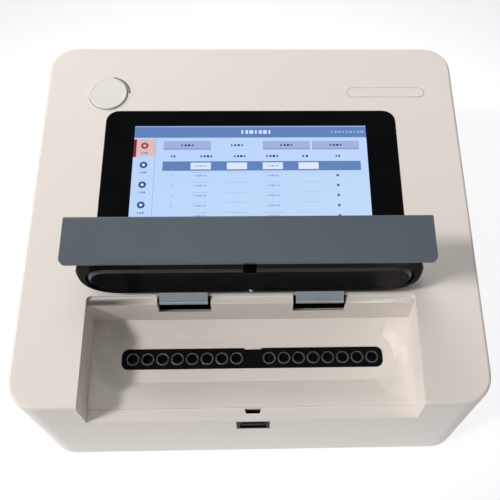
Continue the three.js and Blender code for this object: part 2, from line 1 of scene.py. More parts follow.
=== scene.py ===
"""A bench-top thermal cycler with its lid standing open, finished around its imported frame.

Every length is in metres. The frame gives each node's place; the pieces made here take theirs from it.
"""

import logging
import math
from contextlib import contextmanager
from dataclasses import dataclass, field, replace
from enum import Enum
from typing import Any, Callable, Iterator, Mapping, Protocol, Sequence

import bpy
from mathutils import Matrix, Vector


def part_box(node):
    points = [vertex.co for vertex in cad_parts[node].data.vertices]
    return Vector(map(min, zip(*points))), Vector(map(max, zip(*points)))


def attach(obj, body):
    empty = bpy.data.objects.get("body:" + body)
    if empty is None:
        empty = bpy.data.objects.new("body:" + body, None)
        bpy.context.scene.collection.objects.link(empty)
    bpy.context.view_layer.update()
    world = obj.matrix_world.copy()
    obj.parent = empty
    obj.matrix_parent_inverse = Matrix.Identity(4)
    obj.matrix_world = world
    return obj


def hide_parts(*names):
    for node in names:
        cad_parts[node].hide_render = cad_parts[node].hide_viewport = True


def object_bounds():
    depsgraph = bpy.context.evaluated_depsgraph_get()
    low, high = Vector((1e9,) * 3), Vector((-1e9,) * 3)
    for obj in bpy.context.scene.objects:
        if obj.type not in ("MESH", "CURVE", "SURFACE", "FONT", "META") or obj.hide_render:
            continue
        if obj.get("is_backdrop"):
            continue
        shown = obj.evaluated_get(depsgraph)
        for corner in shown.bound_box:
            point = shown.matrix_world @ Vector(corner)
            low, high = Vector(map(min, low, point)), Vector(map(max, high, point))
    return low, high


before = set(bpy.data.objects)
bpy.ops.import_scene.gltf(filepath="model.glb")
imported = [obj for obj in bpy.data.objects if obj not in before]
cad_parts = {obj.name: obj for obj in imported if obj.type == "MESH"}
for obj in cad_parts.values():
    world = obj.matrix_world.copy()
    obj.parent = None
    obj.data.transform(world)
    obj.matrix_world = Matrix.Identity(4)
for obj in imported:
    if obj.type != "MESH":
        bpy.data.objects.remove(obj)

LOG = logging.getLogger("thermal_cycler")
MM = 0.001
HAIR = 0.01 * MM                                # two places closer than this are the same place
OVERSHOOT = MM                                  # how far a cutter reaches past what it cuts
FLAT = 0.6                                      # faces that meet at fewer degrees than this are one face
CORNER = 30.0                                   # a fold of more degrees than this is a corner
ROUND_STRETCH = 35.0                            # a fold of fewer degrees than this is part of a round stretch
EVERY_EDGE = 40.0                               # softening rounds every fold of more degrees than this
FACING = 0.9                                    # a normal with this much of a direction faces that way

Colour = tuple[float, float, float]
Point = tuple[float, float, float]


class Body(Enum):
    """The bodies of the frame that the pieces ride on."""

    HOUSING = "housing"
    BUTTON = "power_button"
    LATCH = "latch"
    LID = "lid"
    HEATER = "heater"


class Axis(Enum):
    """The direction in which a round bar points, as the turn that brings it there."""

    X = (0.0, math.pi / 2, 0.0)
    Y = (math.pi / 2, 0.0, 0.0)
    Z = (0.0, 0.0, 0.0)


class Part(Enum):
    """The parts of a mesh that edit mode can pick."""

    POINTS = "VERT"
    EDGES = "EDGE"
    FACES = "FACE"


def srgb(red: int, green: int, blue: int) -> Colour:
    """Turns a display colour into the linear one that a shader takes.

    Args:
        red: Red, from 0 to 255.
        green: Green, from 0 to 255.
        blue: Blue, from 0 to 255.

    Returns:
        The linear colour, each channel from 0 to 1.
    """
    def linear(level: int) -> float:
        """Linear light of one channel."""
        share = level / 255
        return share / 12.92 if share <= 0.04045 else ((share + 0.055) / 1.055) ** 2.4

    return linear(red), linear(green), linear(blue)


# ---------------------------------------------------------------- shader graphs


class Value:
    """A number that varies over a surface; arithmetic on it adds the Math nodes that work it out."""

    def __init__(self, graph: "Graph", socket: bpy.types.NodeSocket) -> None:
        """Wraps one output socket of a graph."""
        self.graph = graph
        self.socket = socket

    def _maths(self, operation: str, first: Any, second: Any = 0.0) -> "Value":
        """Adds one Math node and wraps its result."""
        node = self.graph.add("ShaderNodeMath", {"operation": operation}, {0: first, 1: second})
        return Value(self.graph, node.outputs[0])

    def __add__(self, other: Any) -> "Value":
        """Sum."""
        return self._maths("ADD", self, other)

    def __radd__(self, other: Any) -> "Value":
        """Sum, the other way round."""
        return self._maths("ADD", other, self)

    def __sub__(self, other: Any) -> "Value":
        """Difference."""
        return self._maths("SUBTRACT", self, other)

    def __rsub__(self, other: Any) -> "Value":
        """Difference, the other way round."""
        return self._maths("SUBTRACT", other, self)

    def __mul__(self, other: Any) -> "Value":
        """Product."""
        return self._maths("MULTIPLY", self, other)

    def __rmul__(self, other: Any) -> "Value":
        """Product, the other way round."""
        return self._maths("MULTIPLY", other, self)

    def __gt__(self, other: Any) -> "Value":
        """1 where the value is above the other, and 0 elsewhere."""
        return self._maths("GREATER_THAN", self, other)


class Graph:
    """One material under construction: a Principled surface and the nodes that feed it."""

    def __init__(self, name: str) -> None:
        """Starts a material with nothing but its surface.

        Args:
            name: The material's name.
        """
        self.material = bpy.data.materials.new(name)
        self.material.use_nodes = True
        self.tree = self.material.node_tree
        self.tree.nodes.clear()
        self.surface = self.add("ShaderNodeBsdfPrincipled")
        self.add("ShaderNodeOutputMaterial", {}, {"Surface": self.surface.outputs[0]})

    def add(self, kind: str, settings: Mapping[str, Any] | None = None,
            inputs: Mapping[Any, Any] | None = None) -> bpy.types.Node:
        """Adds a node, sets it up and feeds it.

        Args:
            kind: The node's type.
            settings: Its properties.
            inputs: What each socket gets: a Value, an output socket, or a constant.

        Returns:
            The new node.
        """
        node = self.tree.nodes.new(kind)
        for name, setting in (settings or {}).items():
            setattr(node, name, setting)
        for name, given in (inputs or {}).items():
            self.feed(node.inputs[name], given)
        return node

    def feed(self, socket: bpy.types.NodeSocket, given: Any) -> None:
        """Links a value to a socket, or sets a constant on it.

        Args:
            socket: The socket.
            given: A Value, an output socket, or a constant.
        """
        if isinstance(given, Value):
            given = given.socket
        if isinstance(given, bpy.types.NodeSocket):
            self.tree.links.new(given, socket)
        elif socket.type == "RGBA" and len(given) == 3:
            socket.default_value = (*given, 1.0)
        else:
            socket.default_value = given

    def surface_gets(self, **inputs: Any) -> None:
        """Feeds the surface; a socket's name is written with underscores for its spaces."""
        for name, given in inputs.items():
            self.feed(self.surface.inputs[name.replace("_", " ")], given)

    def place(self, stretch: Point = (1.0, 1.0, 1.0),
              centre: Point = (0.0, 0.0, 0.0)) -> bpy.types.NodeSocket:
        """Object coordinates, centred on a point and then stretched.

        Args:
            stretch: What each coordinate is multiplied by.
            centre: The point that becomes the origin.

        Returns:
            The coordinates' socket.
        """
        coordinates = self.add("ShaderNodeTexCoord").outputs["Object"]
        back = tuple(-c * s for c, s in zip(centre, stretch))
        node = self.add("ShaderNodeMapping", {"vector_type": "POINT"},
                        {"Vector": coordinates, "Location": back, "Scale": stretch})
        return node.outputs[0]

    def noise(self, size: float, detail: float = 2.0, where: bpy.types.NodeSocket | None = None) -> Value:
        """Smooth noise whose blotches are about `size` across, from 0 to 1."""
        node = self.add("ShaderNodeTexNoise", {"noise_dimensions": "3D"},
                        {"Vector": where or self.place(), "Scale": 1 / size, "Detail": detail})
        return Value(self, node.outputs[0])

    def cells(self, size: float) -> Value:
        """Distance to the middle of cells about `size` across."""
        node = self.add("ShaderNodeTexVoronoi", {"feature": "F1"},
                        {"Vector": self.place(), "Scale": 1 / size})
        return Value(self, node.outputs[0])

    def mix(self, factor: Any, low: Any, high: Any) -> bpy.types.NodeSocket:
        """A colour between two others."""
        node = self.add("ShaderNodeMix", {"data_type": "RGBA", "blend_type": "MIX"},
                        {0: factor, 6: low, 7: high})
        return node.outputs[2]

    def bump(self, height: Value, depth: float, strength: float = 1.0) -> bpy.types.NodeSocket:
        """A normal tilted by a height that spans `depth`."""
        inputs = {"Height": height, "Distance": depth, "Strength": strength}
        return self.add("ShaderNodeBump", {}, inputs).outputs[0]


# ---------------------------------------------------------------- finishes


class Finish(Protocol):
    """What every finish offers."""

    name: str

    def build(self) -> bpy.types.Material:
        """Makes the material."""


@dataclass(frozen=True)
class Moulded:
    """Moulded plastic: a fine spark texture, faint colour drift and polish that varies with handling."""

    name: str
    colour: Colour
    drift: Colour
    roughness: float = 0.5
    grain: float = 0.35 * MM
    depth: float = 0.012 * MM
    coat: float = 0.0
    coat_roughness: float = 0.2
    coarse: float = 2.7                             # size of the coarser grain, in grains
    drift_size: float = 60 * MM
    touch_size: float = 18 * MM
    touch: float = 0.1                              # how far handling changes the roughness

    def build(self) -> bpy.types.Material:
        """Makes the material."""
        graph = Graph(self.name)
        drift = graph.noise(self.drift_size, 3.0)
        handling = graph.noise(self.touch_size, 4.0)
        spark = graph.noise(self.grain, 2.0) + 0.5 * graph.noise(self.grain * self.coarse, 1.0)
        graph.surface_gets(
            Base_Color=graph.mix(drift, self.colour, self.drift),
            Roughness=self.roughness - self.touch / 2 + self.touch * handling,
            Coat_Weight=self.coat,
            Coat_Roughness=self.coat_roughness,
            Normal=graph.bump(spark, self.depth),
        )
        return graph.material


@dataclass(frozen=True)
class Polished:
    """Glossy plastic or enamel: slight waves in the skin, fine wipe marks and dust."""

    name: str
    colour: Colour
    dust: Colour
    roughness: float = 0.12
    coat: float = 0.6
    coat_roughness: float = 0.06
    gloss: float = 0.5
    wave: float = 0.02 * MM
    wave_size: float = 9 * MM
    wipe_size: float = 2.2 * MM
    wipe_stretch: Point = (0.15, 1.0, 1.0)
    wipe: float = 0.08                              # how far wiping changes the roughness
    speck: float = 0.5 * MM
    speck_level: float = 0.74                       # noise above this is a speck of dust

    def build(self) -> bpy.types.Material:
        """Makes the material."""
        graph = Graph(self.name)
        wipes = graph.noise(self.wipe_size, 3.0, graph.place(stretch=self.wipe_stretch))
        dust = graph.noise(self.speck, 1.0) > self.speck_level
        graph.surface_gets(
            Base_Color=graph.mix(dust * 0.25, self.colour, self.dust),
            Roughness=self.roughness + self.wipe * wipes + 0.2 * dust,
            Specular_IOR_Level=self.gloss,
            Coat_Weight=self.coat,
            Coat_Roughness=self.coat_roughness,
            Normal=graph.bump(graph.noise(self.wave_size, 1.0), self.wave),
        )
        return graph.material


@dataclass(frozen=True)
class Metal:
    """Bare or plated metal with drawn marks along one direction."""

    name: str
    colour: Colour
    shade: Colour
    roughness: float = 0.25
    along: Point = (0.04, 1.0, 1.0)
    mark: float = 0.25 * MM
    depth: float = 0.004 * MM
    haze_size: float = 7 * MM

    def build(self) -> bpy.types.Material:
        """Makes the material."""
        graph = Graph(self.name)
        marks = graph.noise(self.mark, 3.0, graph.place(stretch=self.along))
        haze = graph.noise(self.haze_size, 3.0)
        graph.surface_gets(
            Base_Color=graph.mix(haze, self.colour, self.shade),
            Metallic=1.0,
            Roughness=self.roughness - 0.05 + 0.12 * marks + 0.06 * haze,
            Normal=graph.bump(marks, self.depth),
        )
        return graph.material


@dataclass(frozen=True)
class Porous:
    """Rubber, foam or blasted metal: a skin full of small pits."""

    name: str
    colour: Colour
    pit: Colour
    roughness: float = 0.85
    pore: float = 0.6 * MM
    depth: float = 0.05 * MM
    metallic: float = 0.0
    gloss: float = 0.5
    wear_size: float = 11 * MM
    wear: float = 0.08                              # how far wear lowers the roughness

    def build(self) -> bpy.types.Material:
        """Makes the material."""
        graph = Graph(self.name)
        pits = graph.cells(self.pore)
        wear = graph.noise(self.wear_size, 3.0)
        graph.surface_gets(
            Base_Color=graph.mix(pits * 0.6 + wear * 0.4, self.pit, self.colour),
            Metallic=self.metallic,
            Specular_IOR_Level=self.gloss,
            Roughness=self.roughness - self.wear * wear,
            Normal=graph.bump(pits, self.depth, 0.7),
        )
        return graph.material


@dataclass(frozen=True)
class Board:
    """A printed circuit: copper tracks under green mask, with tinned pads between them."""

    name: str = "printed_circuit"
    mask: Colour = srgb(24, 84, 52)
    track: Colour = srgb(48, 124, 76)
    pad: Colour = srgb(190, 192, 188)
    tracks: float = 90.0                            # rows of tracks, as the brick pattern counts them
    track_width: float = 0.03
    track_height: float = 0.03 * MM
    pad_pitch: float = 6 * MM
    pad_reach: float = 0.12                         # a pad's radius, in pitches

    def build(self) -> bpy.types.Material:
        """Makes the material."""
        graph = Graph(self.name)
        bricks = graph.add("ShaderNodeTexBrick", {"offset": 0.5},
                           {"Vector": graph.place(), "Scale": self.tracks, "Mortar Size": self.track_width,
                            "Color1": self.mask, "Color2": self.mask, "Mortar": self.track})
        bare = 1 - (graph.cells(self.pad_pitch) > self.pad_reach)
        graph.surface_gets(
            Base_Color=graph.mix(bare, bricks.outputs[0], self.pad),
            Metallic=bare,
            Roughness=0.32 + 0.1 * graph.noise(3 * MM),
            Normal=graph.bump(Value(graph, bricks.outputs[1]), self.track_height),
        )
        return graph.material


@dataclass(frozen=True)
class TouchGlass:
    """The display's cover glass: black print behind a clear face, with faint finger smears."""

    name: str = "touch_glass"
    colour: Colour = srgb(6, 6, 8)
    smear: Colour = srgb(16, 17, 20)
    gloss: float = 0.06
    smear_size: float = 14 * MM
    smear_stretch: Point = (1.0, 0.55, 1.0)
    wave: float = 0.01 * MM
    wave_size: float = 40 * MM

    def build(self) -> bpy.types.Material:
        """Makes the material."""
        graph = Graph(self.name)
        smears = graph.noise(self.smear_size, 5.0, graph.place(stretch=self.smear_stretch))
        graph.surface_gets(
            Base_Color=graph.mix(smears, self.colour, self.smear),
            Roughness=0.04 + 0.1 * smears,
            Specular_IOR_Level=self.gloss,
            Normal=graph.bump(graph.noise(self.wave_size, 1.0), self.wave),
        )
        return graph.material


@dataclass(frozen=True)
class LitPage:
    """The lit page of the display: each tile's own ink, a little warmer towards the lower right."""

    name: str = "lit_page"
    black: Colour = srgb(4, 4, 6)
    cool: Colour = srgb(232, 240, 255)
    warm: Colour = srgb(246, 255, 255)
    span: float = 150 * MM
    middle: float = 0.55                            # the tint's warmth at the object's origin
    rightward: float = 0.35                         # how much warmer it is one span to the right
    backward: float = 0.8                           # how much cooler it is one span to the rear
    ink: str = "ink"

    def build(self) -> bpy.types.Material:
        """Makes the material."""
        graph = Graph(self.name)
        ink = graph.add("ShaderNodeVertexColor", {"layer_name": self.ink}).outputs[0]
        split = graph.add("ShaderNodeSeparateXYZ", {}, {0: graph.place(stretch=(1 / self.span,) * 3)})
        right, back = (Value(graph, split.outputs[i]) for i in range(2))
        tint = graph.mix(self.middle + self.rightward * right - self.backward * back, self.cool, self.warm)
        product = graph.add("ShaderNodeMix", {"data_type": "RGBA", "blend_type": "MULTIPLY"},
                            {0: 1.0, 6: ink, 7: tint})
        graph.surface_gets(
            Base_Color=self.black,
            Roughness=0.08 + 0.06 * graph.noise(14 * MM, 4.0),
            Emission_Color=product.outputs[2],
            Emission_Strength=1.0,
        )
        return graph.material


@dataclass
class Finishes:
    """Every finish of the machine, built once."""

    made: dict[str, bpy.types.Material] = field(default_factory=dict)

    IVORY = Moulded("ivory_moulding", srgb(231, 224, 218), srgb(228, 221, 214), roughness=0.52)
    CREAM = Moulded("cream_moulding", srgb(219, 219, 211), srgb(225, 223, 216), roughness=0.36,
                    depth=0.004 * MM, coat=0.1)
    LABEL = Moulded("label_film", srgb(231, 228, 221), srgb(227, 224, 217), roughness=0.34,
                    depth=0.003 * MM, coat=0.1)
    SLATE = Moulded("slate_lacquer", srgb(82, 92, 101), srgb(76, 86, 96), roughness=0.42,
                    grain=0.5 * MM, depth=0.006 * MM)
    # painted shade: the grey of the crescent beside the power button stands for the shade in its groove
    CRESCENT_SHADE = Polished("crescent_painted_shade", srgb(120, 120, 108), srgb(170, 168, 158))
    PAN = Moulded("powder_coat", srgb(88, 92, 96), srgb(80, 84, 88), roughness=0.6,
                  grain=0.8 * MM, depth=0.03 * MM)
    BLACK = Moulded("black_moulding", srgb(14, 14, 16), srgb(20, 20, 22), roughness=0.42)
    GLOSS = Polished("black_gloss", srgb(4, 4, 6), srgb(20, 20, 23), coat=0.0, gloss=0.03)
    LATCH = Polished("latch_black", srgb(9, 8, 9), srgb(20, 20, 22), roughness=0.3, coat=0.0, gloss=0.02)
    HEATER = Polished("heater_coating", srgb(5, 5, 7), srgb(20, 21, 24), roughness=0.2, coat=0.0, gloss=0.03)
    BEVEL = Polished("heater_bevel", srgb(62, 66, 74), srgb(84, 88, 96), roughness=0.24, coat=0.0)
    NICKEL = Metal("nickel_plate", srgb(198, 204, 212), srgb(178, 186, 196), roughness=0.16)
    STEEL = Metal("turned_steel", srgb(176, 178, 182), srgb(150, 152, 156), roughness=0.28)
    SHEET = Metal("zinc_sheet", srgb(168, 172, 174), srgb(140, 146, 150), roughness=0.36, mark=0.8 * MM)
    ALUMINIUM = Metal("extruded_aluminium", srgb(186, 188, 190), srgb(168, 170, 173), roughness=0.32,
                      along=(1.0, 0.05, 1.0))
    BLOCK = Porous("blasted_aluminium", srgb(150, 154, 158), srgb(110, 114, 118), roughness=0.38,
                   pore=0.18 * MM, depth=0.006 * MM, metallic=1.0)
    STRIP = Porous("insulating_strip", srgb(6, 6, 6), srgb(3, 3, 3), roughness=0.6,
                   pore=0.3 * MM, depth=0.01 * MM, gloss=0.1)
    RUBBER = Porous("foot_rubber", srgb(30, 30, 31), srgb(20, 20, 21), pore=0.4 * MM, depth=0.02 * MM)
    FOAM = Porous("heat_foam", srgb(72, 72, 74), srgb(38, 38, 40), roughness=0.95,
                  pore=1.2 * MM, depth=0.3 * MM)
    CERAMIC = Porous("alumina", srgb(236, 234, 228), srgb(220, 218, 212), roughness=0.6,
                     pore=0.25 * MM, depth=0.01 * MM)
    BOARD = Board()
    GLASS = TouchGlass()
    PAGE = LitPage()

    def get(self, finish: Finish) -> bpy.types.Material:
        """Makes a finish's material at its first use, and finds it again later.

        Args:
            finish: The finish.

        Returns:
            Its material.
        """
        if finish.name not in self.made:
            self.made[finish.name] = finish.build()
        return self.made[finish.name]


FINISHES = Finishes()


# ---------------------------------------------------------------- the bench


def clear_selection() -> None:
    """Leaves edit mode and lets go of everything, the frame's nodes included."""
    if bpy.context.object is not None and bpy.context.object.mode != "OBJECT":
        bpy.ops.object.mode_set(mode="OBJECT")
    bpy.ops.object.select_all(action="DESELECT")


def hold(obj: bpy.types.Object) -> None:
    """Selects one object alone and makes it the active one.

    Args:
        obj: The object.
    """
    clear_selection()
    obj.select_set(True)
    bpy.context.view_layer.objects.active = obj


class Piece:
    """One piece on the bench. Its methods are the usual modelling steps, and each returns the piece."""

    def __init__(self, obj: bpy.types.Object, name: str) -> None:
        """Takes hold of an object and names it.

        Args:
            obj: The object.
            name: Its new name.
        """
        self.obj = obj
        obj.name = name
        obj.data.name = name

    # -- ways to start

    @classmethod
    def block(cls, name: str, low: Sequence[float], high: Sequence[float]) -> "Piece":
        """Starts from a block between two corners.

        Args:
            name: The piece's name.
            low: Its lowest corner.
            high: Its highest corner.

        Returns:
            The piece.
        """
        clear_selection()
        centre = [(a + b) / 2 for a, b in zip(low, high)]
        size = [b - a for a, b in zip(low, high)]
        bpy.ops.mesh.primitive_cube_add(size=1.0, location=centre, scale=size)
        return cls(bpy.context.object, name).settle()

    @classmethod
    def disc(cls, name: str, radius: float, centre: Point, length: float, axis: Axis, sides: int) -> "Piece":
        """Starts from a round bar.

        Args:
            name: The piece's name.
            radius: The bar's radius.
            centre: The bar's middle.
            length: Its length.
            axis: The direction it points in.
            sides: The number of facets around it.

        Returns:
            The piece.
        """
        clear_selection()
        bpy.ops.mesh.primitive_cylinder_add(vertices=sides, radius=radius, depth=length, location=centre,
                                            rotation=axis.value)
        return cls(bpy.context.object, name).settle()

    @classmethod
    def column(cls, name: str, radius: float, x: float, y: float, low: float, high: float,
               sides: int) -> "Piece":
        """Starts from an upright round bar between two heights.

        Args:
            name: The piece's name.
            radius: The bar's radius.
            x: Its place from left to right.
            y: Its place from front to rear.
            low: The height of its lower end.
            high: The height of its upper end.
            sides: The number of facets around it.

        Returns:
            The piece.
        """
        return cls.disc(name, radius, (x, y, (low + high) / 2), high - low, Axis.Z, sides)

    @classmethod
    def of_node(cls, name: str, node: str) -> "Piece":
        """Starts from a merged copy of one of the frame's nodes.

        Args:
            name: The piece's name.
            node: The node's name.

        Returns:
            The piece.
        """
        copy = bpy.data.objects.new(name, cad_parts[node].data.copy())
        bpy.context.scene.collection.objects.link(copy)
        copy.data.materials.clear()
        piece = cls(copy, name)
        with piece.editing(Part.POINTS):
            bpy.ops.mesh.select_all(action="SELECT")
            bpy.ops.mesh.remove_doubles(threshold=HAIR / 4)
            bpy.ops.mesh.dissolve_limited(angle_limit=math.radians(FLAT))
        return piece

    def copy(self, name: str, shift: Sequence[float]) -> "Piece":
        """Makes a second piece with a mesh of its own.

        Args:
            name: The copy's name.
            shift: How far it stands from this one.

        Returns:
            The copy.
        """
        obj = bpy.data.objects.new(name, self.obj.data.copy())
        bpy.context.scene.collection.objects.link(obj)
        obj.location = shift
        return Piece(obj, name).settle()

    # -- picking

    @contextmanager
    def editing(self, part: Part) -> Iterator[None]:
        """Holds the piece in edit mode.

        Args:
            part: What its operators pick.
        """
        hold(self.obj)
        bpy.context.tool_settings.mesh_select_mode = tuple(part is each for each in Part)
        bpy.ops.object.mode_set(mode="EDIT")
        yield
        bpy.ops.object.mode_set(mode="OBJECT")

    def _drop_all(self) -> None:
        """Lets go of every vertex, edge and face."""
        mesh = self.obj.data
        for parts in (mesh.vertices, mesh.edges, mesh.polygons):
            parts.foreach_set("select", [False] * len(parts))

    def pick_edges(self, wanted: Callable[[Vector, Vector], bool], sharper: float = 0.0) -> "Piece":
        """Picks edges by the places of their ends.

        Args:
            wanted: Says whether an edge between two points is picked.
            sharper: Picks only edges that fold by more than this many degrees.

        Returns:
            The piece.
        """
        self._drop_all()
        mesh = self.obj.data
        sharp = self._sharp_keys(math.radians(sharper)) if sharper else None
        for edge in mesh.edges:
            first, second = (mesh.vertices[i].co for i in edge.vertices)
            if wanted(first, second) and (sharp is None or edge.key in sharp):
                edge.select = True
                for i in edge.vertices:
                    mesh.vertices[i].select = True
        return self

    def pick_above(self, height: float, sharper: float = 0.0) -> "Piece":
        """Picks the edges at or above a height."""
        return self.pick_edges(lambda a, b: min(a.z, b.z) > height - HAIR, sharper)

    def pick_below(self, height: float) -> "Piece":
        """Picks the edges at or below a height."""
        return self.pick_edges(lambda a, b: max(a.z, b.z) < height + HAIR)

    def _sharp_keys(self, angle: float) -> set[tuple[int, int]]:
        """Finds the edges whose two faces meet at more than an angle.

        Args:
            angle: The angle, in radians.

        Returns:
            The edges' keys.
        """
        normals: dict[tuple[int, int], list[Vector]] = {}
        for face in self.obj.data.polygons:
            for key in face.edge_keys:
                normals.setdefault(key, []).append(face.normal)
        pairs = {key: pair for key, pair in normals.items() if len(pair) == 2}
        return {key for key, (one, other) in pairs.items() if one.angle(other, 0.0) > angle}

    def pick_faces(self, wanted: Callable[[Vector, Vector], bool]) -> "Piece":
        """Picks faces.

        Args:
            wanted: Says whether a face with this middle and normal is picked.

        Returns:
            The piece.
        """
        self._drop_all()
        mesh = self.obj.data
        for face in mesh.polygons:
            if wanted(face.center, face.normal):
                face.select = True
                for i in face.vertices:
                    mesh.vertices[i].select = True
        return self

    # -- shaping

    def settle(self) -> "Piece":
        """Puts the object at the origin, unturned and unscaled, with its place in its mesh."""
        hold(self.obj)
        bpy.ops.object.transform_apply(location=True, rotation=True, scale=True)
        return self

    def bevel(self, width: float, steps: int) -> "Piece":
        """Rounds the picked edges.

        Args:
            width: How far the rounding reaches from an edge.
            steps: How many facets it has.

        Returns:
            The piece.
        """
        with self.editing(Part.EDGES):
            bpy.ops.mesh.bevel(offset=width, segments=steps, affect="EDGES", profile=0.5, clamp_overlap=True)
        return self

    def inset(self, width: float, rise: float = 0.0) -> "Piece":
        """Insets the picked faces, and moves them along their normal.

        Args:
            width: How far they shrink from their border.
            rise: How far they move.

        Returns:
            The piece.
        """
        with self.editing(Part.FACES):
            bpy.ops.mesh.inset(thickness=width, depth=rise, use_even_offset=True)
        return self

    def extrude(self, rise: float, share: float = 1.0, middle: Point = (0.0, 0.0, 0.0)) -> "Piece":
        """Extrudes the picked faces upright, and narrows their new end.

        Args:
            rise: How far they go up, or down where it is negative.
            share: The new end's width, as a share of the old one.
            middle: The point that it narrows towards, seen from above.

        Returns:
            The piece.
        """
        with self.editing(Part.FACES):
            bpy.ops.mesh.extrude_region_move(TRANSFORM_OT_translate={"value": (0.0, 0.0, rise)})
            bpy.ops.transform.resize(value=(share, share, 1.0), center_override=middle)
        return self

    def modify(self, kind: str, **settings: Any) -> "Piece":
        """Adds a modifier, sets it up and applies it.

        Args:
            kind: The modifier's type.
            settings: Its properties.

        Returns:
            The piece.
        """
        hold(self.obj)
        bpy.ops.object.modifier_add(type=kind)
        modifier = self.obj.modifiers[-1]
        for name, setting in settings.items():
            setattr(modifier, name, setting)
        bpy.ops.object.modifier_apply(modifier=modifier.name)
        return self

    def _merge(self, other: "Piece", operation: str) -> "Piece":
        """Runs a boolean with another piece.

        Args:
            other: The other piece, which is used up.
            operation: The boolean's name.

        Returns:
            The piece.
        """
        self.modify("BOOLEAN", operation=operation, object=other.obj, solver="EXACT")
        bpy.data.objects.remove(other.obj)
        return self

    def cut(self, cutter: "Piece") -> "Piece":
        """Takes another piece's volume away from this one."""
        return self._merge(cutter, "DIFFERENCE")

    def weld(self, other: "Piece") -> "Piece":
        """Makes this piece and another one solid."""
        return self._merge(other, "UNION")

    def join(self, others: Sequence["Piece"]) -> "Piece":
        """Takes other pieces into this one's mesh, each as its own shell.

        Args:
            others: The other pieces.

        Returns:
            The piece.
        """
        hold(self.obj)
        for other in others:
            other.obj.select_set(True)
        bpy.ops.object.join()
        return self

    def soften(self, width: float, steps: int = 2) -> "Piece":
        """Rounds every sharp edge a little."""
        return self.pick_edges(lambda a, b: True, EVERY_EDGE).bevel(width, steps)

    def smooth(self, angle: float = ROUND_STRETCH) -> "Piece":
        """Shades round stretches smooth, and keeps flat faces flat.

        Args:
            angle: A fold of fewer degrees than this is shaded smooth.

        Returns:
            The piece.
        """
        hold(self.obj)
        bpy.ops.object.shade_smooth_by_angle(angle=math.radians(angle))
        return self.modify("WEIGHTED_NORMAL", mode="FACE_AREA", keep_sharp=True)

    # -- handing over

    def done(self, body: Body, slot: str, finish: Finish, *nodes: str) -> None:
        """Dresses the piece and hands it over to the frame.

        Args:
            body: The body that it rides on.
            slot: The record's finish slot; not used.
            finish: Its finish.
            nodes: The frame's nodes that it stands for.
        """
        self.obj.data.materials.clear()
        self.obj.data.materials.append(FINISHES.get(finish))
        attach(self.obj, body.value)
        if nodes:
            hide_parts(*nodes)
        LOG.info("%s rides on %s", self.obj.name, body.value)


@dataclass(frozen=True)
class Rounding:
    """A node of the frame that keeps its shape, with its sharp edges rounded."""

    name: str
    node: str
    edge: float
    steps: int
    slot: str
    finish: Finish

    def make(self, body: Body) -> None:
        """Makes the piece, on a body."""
        piece = Piece.of_node(self.name, self.node).soften(self.edge, self.steps)
        piece.smooth().done(body, self.slot, self.finish, self.node)


def dress(finish: Finish, *nodes: str) -> None:
    """Gives nodes of the frame, whose shape stays, a better finish.

    Args:
        finish: The finish.
        nodes: The nodes' names.
    """
    for node in nodes:
        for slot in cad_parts[node].material_slots:
            slot.material = FINISHES.get(finish)
        LOG.info("%s keeps its shape", node)


def middle_of(node: str) -> Vector:
    """The middle of a node's box."""
    low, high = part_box(node)
    return (low + high) / 2


# ---------------------------------------------------------------- studio


@dataclass(frozen=True)
class Lamp:
    """A square area light."""

    name: str
    place: Point
    target: Point
    size: float
    power: float
    colour: Colour

    def hang(self) -> None:
        """Hangs the lamp at its place, facing its target."""
        data = bpy.data.lights.new(self.name, "AREA")
        data.size = self.size
        data.energy = self.power
        data.color = self.colour
        lamp = bpy.data.objects.new(self.name, data)
        bpy.context.scene.collection.objects.link(lamp)
        lamp.location = self.place
        lamp.rotation_euler = (Vector(self.target) - Vector(self.place)).to_track_quat("-Z", "Y").to_euler()


